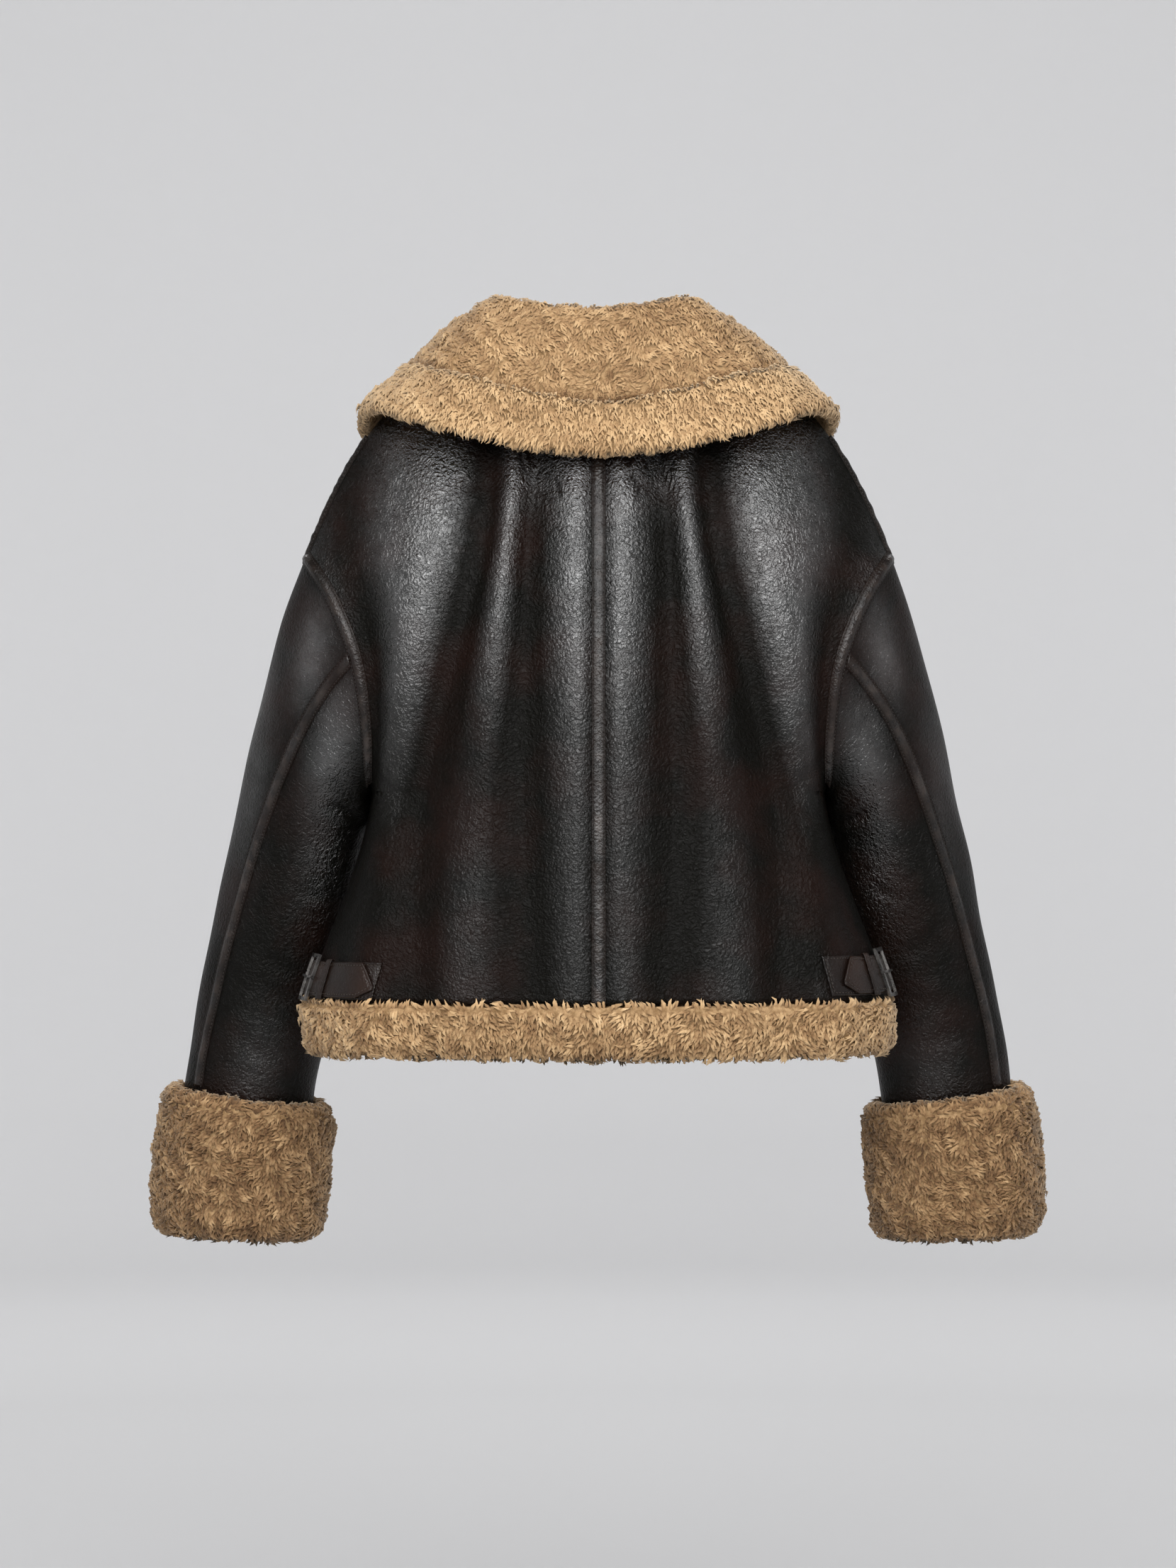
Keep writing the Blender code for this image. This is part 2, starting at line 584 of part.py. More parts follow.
def make_sleeves():
    half = ring_angles()
    back = [a for a in half if a > 0]
    front = [-a for a in reversed(half) if a < 180]
    whole = back + front  # from the armpit over the back, the top and the front
    seam, end = nearest(whole, ARMHOLE_BACK_SEAM), nearest(whole, FRONT_SEAM)
    upper = whole[seam : end + 1]
    lower = whole[end:] + whole[: seam + 1]
    made = {}
    for side_name, side in SIDES.items():
        for part, angles in (("upper", upper), ("under", lower)):
            outer, direction = sleeve_grid(angles, SLEEVE_ROWS)
            inner = outer - direction * WALL
            for grid in (outer, inner):
                across = unit(grid[1] - grid[0])
                grid[0] += across * SEAM_GAP / 2
                across = unit(grid[-2] - grid[-1])
                grid[-1] += across * SEAM_GAP / 2
            made[part, side_name] = (mirrored(outer, side), mirrored(direction, side))
            name = f"sleeve_{part}_{side_name}"
            wall(name, mirrored(outer, side), mirrored(inner, side), "leather")
    return made, upper


def make_cuffs():
    half = ring_angles()
    around = half + [-a for a in reversed(half) if 0 < a < 180]
    shares = np.array([share for share, _ in CUFF_SECTION])
    lift = np.array([height for _, height in CUFF_SECTION])
    at = CUFF_TOP + (1 - CUFF_TOP) * shares
    angles, rows = np.meshgrid(np.radians(seam_warp(np.array(around), 1.0)), at, indexing="ij")
    points = sleeve(angles, rows) + sleeve_normal(angles, rows) * lift[None, :, None]
    for side_name, side in SIDES.items():
        loft(f"cuff_{side_name}", mirrored(points, side), "shearling", closed_path=True)


def make_hem_band(panels):
    """One band round the whole hem, from one side of the zip to the other."""
    path = []
    for side_name, face, order, step in (
        ("left", "front", 1, 1),
        ("left", "back", -1, 2),
        ("right", "back", 1, 2),
        ("right", "front", -1, 1),
    ):
        row = panels[face, side_name][0][:, 0][::step][::order]
        path.extend(row if not path else row[1:])
    path = np.array(path)
    path[0, 0], path[-1, 0] = -HEM_END, HEM_END
    tangent = np.gradient(path, axis=0)
    out = unit(np.stack([-tangent[:, 1], tangent[:, 0], np.zeros(len(path))], axis=1))
    out[[0, -1]] = (0.0, 1.0, 0.0)
    if out[len(out) // 2, 1] > 0:
        out[1:-1] *= -1
    rings = []
    for i, point in enumerate(path):
        wave = HEM_WAVE * math.sin(i * 1.7) * (0 < i < len(path) - 1)
        ring = []
        for outward, height in HEM_BAND:
            z = height + wave if height < HEM_Z - 0.02 else height
            ring.append([*(point[:2] + out[i, :2] * outward), z])
        rings.append(ring)
    loft("hem_band", np.array(rings), "shearling")


def make_tapes(panels, sleeves, upper_angles):
    back_left, back_right = panels["back", "left"], panels["back", "right"]
    rows = range(0, len(panel_rows()) - 3)
    middle = [(back_left[0][0, j] + back_right[0][0, j]) / 2 for j in rows]
    normals = [unit(back_left[1][0, j] + back_right[1][0, j]) for j in rows]
    strip(
        "tape_centre_back",
        middle,
        [back_left[0][:, j] for j in rows],
        [back_right[0][:, j] for j in rows],
        normals,
    )
    for side_name in SIDES:
        back, back_out = panels["back", side_name]
        front, front_out = panels["front", side_name]
        upper, upper_out = sleeves["upper", side_name]
        under = sleeves["under", side_name][0]
        make_shoulder_tape(side_name, back, front, back_out)
        make_armhole_tape(side_name, back, back_out, front, front_out, upper, under, upper_angles)
        make_sleeve_tape(side_name, upper, upper_out, under)


def make_shoulder_tape(side_name, back, front, back_out):
    middle, first, second, normals = [], [], [], []
    for i in range(NECK_COLUMNS + 10, len(back) - 3):
        share = NECK_COLUMNS + (i - NECK_COLUMNS) / 2
        low, mix = int(share), share - int(share)
        line = front[low] * (1 - mix) + front[low + 1] * mix
        middle.append((back[i, -1] + line[-1]) / 2)
        first.append(back[i, ::-1])
        second.append(line[::-1])
        normals.append(back_out[i, -1])
    strip(f"tape_shoulder_{side_name}", middle, first, second, normals)


def make_armhole_tape(side_name, back, back_out, front, front_out, upper, under, upper_angles):
    """From low on the back, over the shoulder tip, to low on the front."""
    rises = list(ROWS_ABOVE)
    stations = [("back", r) for r in rises if r >= 0.2] + [("front", r) for r in reversed(rises) if 0.42 <= r < 1]
    count_under = under.shape[0] - 1
    middle, first, second, normals = [], [], [], []
    for face, rise in stations:
        grid, out = (back, back_out) if face == "back" else (front, front_out)
        row = len(ROWS_BELOW) + rises.index(rise)
        angle = 180 * (1 - rise) * (1 if face == "back" else -1)
        column = nearest(upper_angles, angle)
        if abs(upper_angles[column] - angle) < 0.01:
            line = upper[column]
        else:
            steps = rises.index(rise) - rises.index(0.55)
            line = under[count_under + steps] if face == "back" else under[rises.index(0.42) - rises.index(rise)]
        middle.append((grid[-1, row] + line[0]) / 2)
        first.append(grid[::-1, row])
        second.append(line)
        normals.append(unit(out[-1, row] + out[-2, row]) * (1 + ARMPIT_LIFT * (1 - rise) ** 3))
    strip(f"tape_armhole_{side_name}", middle, first, second, normals)


def make_sleeve_tape(side_name, upper, upper_out, under):
    rows = range(1, len(SLEEVE_ROWS) - 2)
    strip(
        f"tape_sleeve_{side_name}",
        [(upper[0, j] + under[-1, j]) / 2 for j in rows],
        [upper[:, j] for j in rows],
        [under[::-1, j] for j in rows],
        [upper_out[0, j] for j in rows],
    )


# Collar

def neck_corner(degrees):
    """The neck seam at an angle from the centre back, and the way out across it."""
    around = math.radians(degrees)
    turn = math.cos(around)
    face = "back" if turn > 0 else "front"
    depth = abs(CENTRE[face]["y"][-1] - SHOULDER_Y)
    height = NECK_Z[face] * abs(turn) ** NECK_POWER[face]
    point = np.array([NECK_HALF * math.sin(around), SHOULDER_Y - depth * turn, height])
    return point, unit(np.array([math.sin(around) / NECK_HALF, -turn / depth, 0.0]))


def neck_seam(degrees):
    """The seam as the panels' facets draw it, with a corner every NECK_STEP degrees."""
    low = math.floor(degrees / NECK_STEP) * NECK_STEP
    mix = (degrees - low) / NECK_STEP
    a, out_a = neck_corner(low)
    b, out_b = neck_corner(low + NECK_STEP)
    return a * (1 - mix) + b * mix, unit(out_a * (1 - mix) + out_b * mix)


def collar_frame(degrees):
    """Neck seam point, the way out and the table's sizes at an angle round the neck."""
    at = abs(degrees)
    sizes = {name: float(smooth_curve(COLLAR["around"], COLLAR[name], at)) for name in COLLAR}
    lean = math.radians(math.copysign(sizes["azimuth"], degrees))
    point, square = neck_seam(degrees)
    return point, square, np.array([math.sin(lean), -math.cos(lean), 0.0]), sizes


def collar_paths(sizes, foot_z):
    """Section of the folded collar: its fur side and its leather side, as (r, z) points."""
    fold = np.array([sizes["fold_r"], sizes["fold_z"]])
    seam = np.array([sizes["seam_r"], sizes["seam_z"]])
    shoulder = fold + (0.013, -0.007)
    fall = unit(seam - shoulder)
    out = np.array([-fall[1], fall[0]])
    rise = fold[1] - foot_z
    fur = [
        (STAND_INSIDE, foot_z),
        (STAND_INSIDE + 0.001, foot_z + 0.35 * rise),
        (STAND_INSIDE + 0.003, foot_z + 0.68 * rise),
        fold + (-0.0135, -0.0085),
        fold + (-0.0065, -0.0018),
        fold + (0.0035, -0.0002),
        shoulder,
        shoulder + (seam - shoulder) * 0.33 + out * FALL_BULGE * 0.9,
        shoulder + (seam - shoulder) * 0.67 + out * FALL_BULGE,
        seam,
    ]
    hide_shoulder = fold + (0.0035, -0.0165)
    under_seam = seam - out * COLLAR_WALL
    hide = [
        (STAND_OUTSIDE, foot_z),
        (STAND_OUTSIDE, foot_z + 0.30 * rise),
        (STAND_OUTSIDE + 0.0005, foot_z + 0.55 * rise),
        fold + (-0.0075, -0.0180),
        fold + (-0.0045, -0.0150),
        fold + (0.0000, -0.0140),
        hide_shoulder,
        hide_shoulder + (under_seam - hide_shoulder) * 0.33 + out * FALL_BULGE * 0.5,
        hide_shoulder + (under_seam - hide_shoulder) * 0.67 + out * FALL_BULGE * 0.5,
        under_seam,
    ]
    return np.array([tuple(p) for p in fur]), np.array([tuple(p) for p in hide])


def place(section, point, square, out):
    """Section points (r, z) as points in space. Those of the stand, which come first, are set off
    square to the neck seam, and the rest the way the collar falls."""
    share = np.clip((section[:, 1:] - point[2]) / 0.03, 0, 1) if section[0, 0] < 0.003 else 1.0
    share = np.maximum.accumulate(share) if section[0, 0] < 0.003 else share
    way = unit(square * (1 - share) + out * share)
    placed = point * (1, 1, 0) + section[:, :1] * way + section[:, 1:] * (0.0, 0.0, 1.0)
    placed[:, 0] += COLLAR_ASKEW * np.clip(section[:, 1] / 0.05, 0, 1)
    return placed


def make_collar():
    fur_rows, hide_rows, border = [], [], []
    for degrees in np.arange(-COLLAR_END, COLLAR_END + 1, COLLAR_STEP):
        point, square, out, sizes = collar_frame(degrees)
        fur, hide = collar_paths(sizes, float(point[2]) + FOOT_LIFT)
        fur_rows.append(place(fur, point, square, out))
        hide_rows.append(place(hide, point, square, out))
        border.append(place(border_section(sizes, fur, hide), point, out, out))
    wall("collar", np.array(fur_rows), np.array(hide_rows), "shearling")
    loft("collar_border", np.array(border), "shearling")


def border_section(sizes, fur, hide):
    """Rounded band below the collar's seam, down to its outer edge."""
    top_mid = (fur[-1] + hide[-1]) / 2
    edge = np.array([sizes["edge_r"], sizes["edge_z"]])
    down = unit(edge - top_mid)
    out = np.array([-down[1], down[0]])
    top = top_mid + down * (BORDER_HALF * BORDER_TOP + SEAM_GAP * 4)
    ring = []
    for i in range(BORDER_SIDES):
        turn = 2 * math.pi * (i + 0.5) / BORDER_SIDES
        end = edge if math.sin(turn) < 0 else top
        depth = BORDER_TOP if math.sin(turn) > 0 else 1.0
        ring.append(end - down * math.sin(turn) * BORDER_HALF * depth + out * math.cos(turn) * BORDER_HALF)
    return np.array(ring)


# Waist tabs, straps, keepers and buckles

def side_line(z):
    """Points round the side at a height, from the front to the back, and the way out at each."""
    t = ARMPIT_T * (z - HEM_Z) / (ARMPIT_Z - HEM_Z)
    s = np.linspace(0.35, 1.0, 60)
    front, front_out = panel("front", s, np.array([t]))
    back, back_out = panel("back", s[::-1], np.array([t]))
    points = np.concatenate([front[:, 0], back[1:, 0]])
    out = np.concatenate([front_out[:, 0], back_out[1:, 0]])
    steps = np.concatenate([[0], np.cumsum(np.linalg.norm(np.diff(points, axis=0), axis=1))])
    return points, out, steps - steps[len(s) - 1]


def on_side(at, z, height):
    """The point that far round from the side seam, at height z, that high above the leather."""
    if z < HEM_Z:
        return 2 * on_side(at, HEM_Z, height) - on_side(at, 2 * HEM_Z - z, height)
    points, out, steps = side_line(z)
    place_at = np.array([np.interp(at, steps, points[:, k]) for k in range(3)])
    way = unit(np.array([np.interp(at, steps, out[:, k]) for k in range(3)]))
    return place_at + way * height


def side_stations(start, end, count):
    """Even steps round the side, with those where the keeper and the buckle begin and end."""
    marks = [KEEPER_AT - KEEPER_HALF, KEEPER_AT + KEEPER_HALF, BUCKLE_AT - BUCKLE_HALF, BUCKLE_AT + BUCKLE_HALF]
    even = [at for at in np.linspace(start, end, count) if min(abs(at - mark) for mark in marks) > 0.003]
    return sorted(even + [mark for mark in marks if start < mark < end])


def side_plate(name, side, stations, height_low, height_high):
    """A plate wrapped round the side. Each station is (at, low z, high z)."""
    outer, inner = [], []
    for at, z0, z1 in stations:
        outer.append([on_side(at, z, height_high) for z in np.linspace(z0, z1, 3)])
        inner.append([on_side(at, z, height_low) for z in np.linspace(z0, z1, 3)])
    return wall(name, mirrored(np.array(outer), side), mirrored(np.array(inner), side), "leather")


def make_waist(side_name):
    side, sizes = SIDES[side_name], WAIST[side_name]
    low, high = sizes["low"], sizes["high"]
    tab = [(at, low, high) for at in side_stations(TAB_START, sizes["tab_end"], 11)]
    side_plate(f"waist_tab_{side_name}", side, tab, TAB_LOW, TAB_HIGH)

    strap_low, strap_high = low + STRAP_INSET, high - STRAP_INSET
    point_z = strap_low + 0.42 * (strap_high - strap_low)
    body = [(at, strap_low, strap_high) for at in side_stations(STRAP_START, sizes["tip"] - STRAP_POINT, 18)]
    tip = [(sizes["tip"], point_z - 0.002, point_z + 0.002)]
    side_plate(f"waist_strap_{side_name}", side, body + tip, STRAP_LOW, STRAP_HIGH)
    make_keeper(side_name, side, low, high)
    make_buckle(side_name, side, low, high)


def make_keeper(side_name, side, low, high):
    """A loop round the strap, lying on the tab."""
    outer, inner = [], []
    middle = (low + high) / 2
    for at in (KEEPER_AT - KEEPER_HALF, KEEPER_AT + KEEPER_HALF):
        outside = (
            (low + 0.0006, KEEPER_LOW),
            (low - 0.0008, KEEPER_LOW + 0.0012),
            (low - 0.0008, KEEPER_TOP - 0.0012),
            (low + 0.0006, KEEPER_TOP),
            (middle, KEEPER_TOP),
            (high - 0.0006, KEEPER_TOP),
            (high + 0.0008, KEEPER_TOP - 0.0012),
            (high + 0.0008, KEEPER_LOW + 0.0012),
            (high - 0.0006, KEEPER_LOW),
            (middle, KEEPER_LOW),
        )
        inside = (
            (low + 0.0008, KEEPER_MID),
            (low + 0.0006, KEEPER_MID + 0.0004),
            (low + 0.0006, KEEPER_TOP_LOW - 0.0002),
            (low + 0.0008, KEEPER_TOP_LOW),
            (middle, KEEPER_TOP_LOW),
            (high - 0.0008, KEEPER_TOP_LOW),
            (high - 0.0006, KEEPER_TOP_LOW - 0.0002),
            (high - 0.0006, KEEPER_MID + 0.0004),
            (high - 0.0008, KEEPER_MID),
            (middle, KEEPER_MID),
        )
        outer.append([on_side(at, z, height) for z, height in outside])
        inner.append([on_side(at, z, height) for z, height in inside])
    wall(
        f"waist_keeper_{side_name}",
        mirrored(np.array(outer), side),
        mirrored(np.array(inner), side),
        "leather",
        wrap_v=True,
    )


def make_buckle(side_name, side, low, high):
    """A flat rectangular frame over the strap with its prong across it."""
    first, last = BUCKLE_AT - BUCKLE_HALF, BUCKLE_AT + BUCKLE_HALF
    bottom, top = low - BUCKLE_PROUD, high + BUCKLE_PROUD
    middle = (bottom + top) / 2
    outline = [(first, bottom), (BUCKLE_AT, bottom), (last, bottom), (last, middle)]
    outline += [(last, top), (BUCKLE_AT, top), (first, top), (first, middle)]
    centre = np.array([BUCKLE_AT, middle])
    rings = []
    for at, z in outline:
        inward = np.sign(centre - (at, z)) * BUCKLE_WIRE
        rings.append(
            [
                on_side(at, z, BUCKLE_LOW),
                on_side(at, z, BUCKLE_HIGH),
                on_side(at + inward[0], z + inward[1], BUCKLE_HIGH),
                on_side(at + inward[0], z + inward[1], BUCKLE_LOW),
            ]
        )
    loft(f"waist_buckle_{side_name}", mirrored(np.array(rings), side), "metal", True, False)
    prong = []
    for at in np.linspace(first + 0.0005, last + 0.0015, 4):
        prong.append(
            [
                on_side(at, middle - 0.0011, PRONG_LOW),
                on_side(at, middle + 0.0011, PRONG_LOW),
                on_side(at, middle + 0.0008, PRONG_HIGH),
                on_side(at, middle - 0.0008, PRONG_HIGH),
            ]
        )
    loft(f"waist_prong_{side_name}", mirrored(np.array(prong), side), "metal", False, False)


# Front zip

def front_line(z):
    """Centre front of the outer surface at a height, as y."""
    return float(smooth_curve(CENTRE["front"]["z"], CENTRE["front"]["y"], z))


def make_zip():
    heights = np.linspace(ZIP_LOW_Z, -0.082, 16)
    rings = []
    for z in heights:
        y = front_line(z)
        rings.append(
            [
                (-TEETH_HALF, y - WALL, z),
                (-TEETH_HALF, y - 0.0006, z),
                (TEETH_HALF, y - 0.0006, z),
                (TEETH_HALF, y - WALL, z),
            ]
        )
    loft("zip_teeth", np.array(rings), "metal", smooth=False)
    tape_heights = np.linspace(HEM_Z + 0.001, -0.084, 16)
    for side_name, side in SIDES.items():
        rings = []
        for z in tape_heights:
            y = front_line(z) - WALL - 0.0012
            far = y - 0.0022
            rings.append(
                [
                    (side * 0.0003, y, z),
                    (side * TAPE_OUT, far, z),
                    (side * TAPE_OUT, far - ZIP_TAPE_THICK, z),
                    (side * 0.0003, y - ZIP_TAPE_THICK, z),
                ]
            )
        loft(f"zip_tape_{side_name}", np.array(rings), "zip_cloth", smooth=False)
    make_slider()


def front_frame():
    """A frame at the slider: its place on the zip, the way down along the front, and the way out."""
    low, high = front_line(SLIDER_Z - 0.01), front_line(SLIDER_Z + 0.01)
    down = unit(np.array([0.0, low - high, -0.02]))
    return np.array([0.0, front_line(SLIDER_Z), SLIDER_Z]), down, np.array([0.0, -down[2], down[1]])


def make_slider():
    """Slider on the closed zip with its bridge, and the ring pull that turns on the bridge."""
    place_at, down, out = front_frame()

    def at(x, along_zip, height):
        return place_at + np.array([x, 0, 0]) + down * along_zip + out * height

    top = SLIDER_LIFT + SLIDER_THICK
    body = [
        (-SLIDER_HALF, SLIDER_LIFT),
        (-SLIDER_HALF, top - 0.0006),
        (-SLIDER_HALF + 0.0006, top),
        (SLIDER_HALF - 0.0006, top),
        (SLIDER_HALF, top - 0.0006),
        (SLIDER_HALF, SLIDER_LIFT),
    ]
    lengths = ((-SLIDER_LONG, 0.8), (-SLIDER_LONG + 0.002, 1.0), (SLIDER_LONG - 0.002, 0.85), (SLIDER_LONG, 0.65))
    rings = [[at(x * share, along_zip, height) for x, height in body] for along_zip, share in lengths]
    slider = loft("zip_slider", np.array(rings), "metal", smooth=False)

    arch = ((-0.0044, top - 0.0005), (-0.0036, BRIDGE_TOP), (0.0036, BRIDGE_TOP), (0.0044, top - 0.0005))
    hole = ((-0.0026, top - 0.0004), (-0.0022, BRIDGE_TOP - 0.0009), (0.0022, BRIDGE_TOP - 0.0009))
    hole += ((0.0026, top - 0.0004),)
    outer = [[at(x, along_zip, height) for along_zip, height in arch] for x in (-BRIDGE_HALF, BRIDGE_HALF)]
    inner = [[at(x, along_zip, height) for along_zip, height in hole] for x in (-BRIDGE_HALF, BRIDGE_HALF)]
    bridge = wall("slider_bridge", np.array(outer), np.array(inner), "metal", wrap_v=True)
    bridge.hide_render = True
    bridge.display_type = "WIRE"
    join = slider.modifiers.new("bridge", "BOOLEAN")
    join.operation, join.object = "UNION", bridge
    make_pull(at(0, 0, PIVOT_HEIGHT), down, out)


def make_pull(pivot, down, out):
    """Ring pull hanging from the bridge, its top bar on the joint's axis."""
    width, length, corner = PULL_HALF, PULL_LENGTH, 0.0014
    path = [(-width + corner, 0), (width - corner, 0), (width, corner), (width + 0.0006, length - 0.004)]
    path += [(width - 0.002, length), (-width + 0.002, length), (-width - 0.0006, length - 0.004), (-width, corner)]
    rings = []
    for i, (x, below) in enumerate(path):
        way = unit(np.array(path[(i + 1) % len(path)]) - np.array(path[i - 1]))
        aside = np.array([way[1], -way[0]]) * PULL_WIRE
        ring = []
        for k in range(8):
            turn = 2 * math.pi * k / 8
            flat = np.array([x, below]) + aside * math.cos(turn)
            ring.append(np.array([flat[0], 0, 0]) + down * flat[1] + out * math.sin(turn) * PULL_WIRE)
        rings.append(ring)
    pull = loft("zip_pull", np.array(rings), "metal", closed_path=True)
    pull.location = tuple(pivot)


def main():
    clear_scene()
    panels = make_panels()
    sleeves, upper_angles = make_sleeves()
    make_cuffs()
    make_hem_band(panels)
    make_tapes(panels, sleeves, upper_angles)
    make_collar()
    for side_name in SIDES:
        make_waist(side_name)
    make_zip()


main()
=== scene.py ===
"""Lined jacket, seen from behind: leather panels, shearling collar, cuffs and hem, seam tapes and waist tabs.

Metres, +Z up, in the frame of the CAD. The back faces -Y. Sizes and surface formulas repeat those of the
part's source, and are sampled more finely here. Fur is a dark woolly base with thousands of small locks.
"""

import math

import bmesh
import bpy
import numpy as np
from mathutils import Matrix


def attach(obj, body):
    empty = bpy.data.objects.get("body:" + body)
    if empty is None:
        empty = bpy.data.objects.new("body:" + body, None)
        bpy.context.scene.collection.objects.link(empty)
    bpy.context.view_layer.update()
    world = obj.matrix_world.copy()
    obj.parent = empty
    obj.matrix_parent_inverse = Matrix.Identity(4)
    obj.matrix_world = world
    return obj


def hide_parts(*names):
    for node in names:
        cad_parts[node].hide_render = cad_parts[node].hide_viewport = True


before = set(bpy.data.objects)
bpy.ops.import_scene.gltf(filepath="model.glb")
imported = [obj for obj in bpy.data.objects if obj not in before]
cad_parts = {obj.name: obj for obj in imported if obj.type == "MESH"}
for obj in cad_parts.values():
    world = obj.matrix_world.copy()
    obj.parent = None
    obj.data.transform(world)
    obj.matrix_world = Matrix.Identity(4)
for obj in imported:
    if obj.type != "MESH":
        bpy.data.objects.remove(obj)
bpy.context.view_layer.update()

# Sizes shared with the part's source
WALL = 0.004
WALL_AT_COLLAR = 0.002
SEAM_GAP = 0.0003
SIDES = {"left": -1.0, "right": 1.0}
HEM_Z = -0.5335
ARMPIT_Z = -0.361
TIP_Z = -0.163
NECK_Z = {"back": -0.018, "front": -0.075}
NECK_POWER = {"back": 2.0, "front": 1.5}
ARMPIT_T = 0.34
TIP_X = 0.246
NECK_COLUMNS = 6
NECK_S = 3 / 14
NECK_HALF = TIP_X * math.sin(NECK_S * math.pi / 2)
SHOULDER_POWER = 2.62
FLATNESS = 0.8
ROUNDING = 4.0
CROWN = 0.007
ARMHOLE_HALF_DEPTH = 0.06
ARMPIT_Y = 0.01
SHOULDER_Y = -0.018
FRONT_INSET = 0.006

SIDE_SEAM = {
    "z": (-0.6, -0.538, -0.5, -0.46, -0.42, -0.385, -0.361),
    "x": (0.25, 0.2455, 0.234, 0.219, 0.205, 0.1955, 0.192),
    "y": (-0.015, -0.015, -0.014, -0.01, -0.003, 0.005, 0.01),
}
ARMHOLE = {
    "z": (-0.361, -0.325, -0.295, -0.268, -0.243, -0.217, -0.19, -0.163),
    "x": (0.192, 0.1925, 0.1945, 0.198, 0.204, 0.214, 0.2275, 0.246),
}
CENTRE = {
    "back": {
        "z": (-0.6, -0.46, -0.36, -0.27, -0.18, -0.11, -0.06, -0.018),
        "y": (-0.133, -0.13, -0.126, -0.121, -0.113, -0.1, -0.085, -0.068),
    },
    "front": {
        "z": (-0.6, -0.48, -0.4, -0.32, -0.24, -0.17, -0.11, -0.075),
        "y": (0.114, 0.117, 0.119, 0.119, 0.113, 0.099, 0.074, 0.052),
    },
}
BACK_FOLDS = {
    "z": (-0.56, -0.5, -0.43, -0.36, -0.29, -0.22, -0.15, -0.09, -0.03),
    "seam": (0.0, 0.0, 0.0, 0.0, 0.0, 0.0, 0.0, 0.0, 0.0),
    "ridge_a": (0.016, 0.016, 0.016, 0.016, 0.016, 0.017, 0.018, 0.018, 0.018),
    "valley_a": (0.054, 0.056, 0.06, 0.062, 0.061, 0.06, 0.058, 0.052, 0.048),
    "ridge_b": (0.114, 0.113, 0.105, 0.098, 0.092, 0.084, 0.076, 0.07, 0.066),
    "valley_b": (0.15, 0.15, 0.15, 0.145, 0.13, 0.112, 0.094, 0.088, 0.084),
    "ridge_c": (0.19, 0.188, 0.181, 0.175, 0.165, 0.158, 0.15, 0.138, 0.13),
    "valley_c": (0.228, 0.223, 0.21, 0.196, 0.19, 0.193, 0.206, 0.204, 0.2),
    "edge": (0.262, 0.255, 0.24, 0.225, 0.222, 0.232, 0.25, 0.256, 0.26),
}
BACK_FOLD_HEIGHT = {
    "seam": -0.001,
    "ridge_a": 0.0045,
    "valley_a": -0.0055,
    "ridge_b": 0.0035,
    "valley_b": -0.0055,
    "ridge_c": 0.006,
    "valley_c": -0.0035,
    "edge": 0.0,
}
FRONT_FOLDS = {
    "z": (-0.56, -0.36, -0.22, -0.1),
    "placket": (0.0, 0.0, 0.0, 0.0),
    "valley_a": (0.05, 0.048, 0.046, 0.044),
    "ridge_a": (0.095, 0.088, 0.08, 0.072),
    "valley_b": (0.145, 0.132, 0.12, 0.105),
    "ridge_b": (0.192, 0.168, 0.155, 0.14),
    "edge": (0.255, 0.225, 0.235, 0.255),
}
FRONT_FOLD_HEIGHT = {
    "placket": 0.0,
    "valley_a": -0.003,
    "ridge_a": 0.004,
    "valley_b": -0.004,
    "ridge_b": 0.004,
    "edge": 0.0,
}
FOLD_CREASE = 0.3  # from 0, even waves, to 1, sharp valleys
FOLD_FADE = {"z": (-0.56, -0.5, -0.42, -0.12, -0.05, 0.02), "share": (0.6, 0.8, 1.0, 1.0, 0.5, 0.2)}
ROWS_ABOVE = (0.0, 0.1, 0.2, 0.3, 0.42, 0.55, 0.67, 0.77, 0.86, 0.93, 0.975, 1.0)

SLEEVE = {
    "at": (0.0, 0.09, 0.17, 0.26, 0.36, 0.45, 0.54, 0.64, 0.74, 0.83, 0.92, 1.0),
    "out_x": (0.246, 0.2655, 0.2802, 0.2947, 0.3077, 0.3208, 0.3313, 0.3433, 0.3541, 0.3608, 0.3665, 0.369),
    "out_z": (-0.163, -0.211, -0.257, -0.309, -0.366, -0.419, -0.471, -0.527, -0.584, -0.636, -0.694, -0.744),
    "in_x": (0.192, 0.1975, 0.1985, 0.198, 0.1995, 0.205, 0.215, 0.2295, 0.242, 0.249, 0.2555, 0.259),
    "in_z": (-0.361, -0.37, -0.38, -0.397, -0.426, -0.462, -0.501, -0.55, -0.602, -0.649, -0.7, -0.748),
    "mid_y": (-0.004, 0.018, 0.034, 0.05, 0.066, 0.076, 0.084, 0.092, 0.098, 0.103, 0.108, 0.112),
    "half_depth": (0.06, 0.062, 0.062, 0.061, 0.059, 0.057, 0.055, 0.053, 0.05, 0.047, 0.046, 0.046),
    "back_seam": (81.0, 77.0, 72.0, 66.0, 58.0, 52.0, 47.0, 43.0, 41.0, 40.0, 40.0, 40.0),
}
ARMHOLE_BACK_SEAM = 81.0
FRONT_SEAM = -104.4
SLEEVE_END = 0.87
SLEEVE_GAP = 0.0008
SETTLE = 0.42
SLEEVE_ROWS = (0.0, 0.035, 0.08, 0.13, 0.18, 0.24, 0.31, 0.38, 0.46, 0.54, 0.62, 0.7, 0.79, SLEEVE_END)

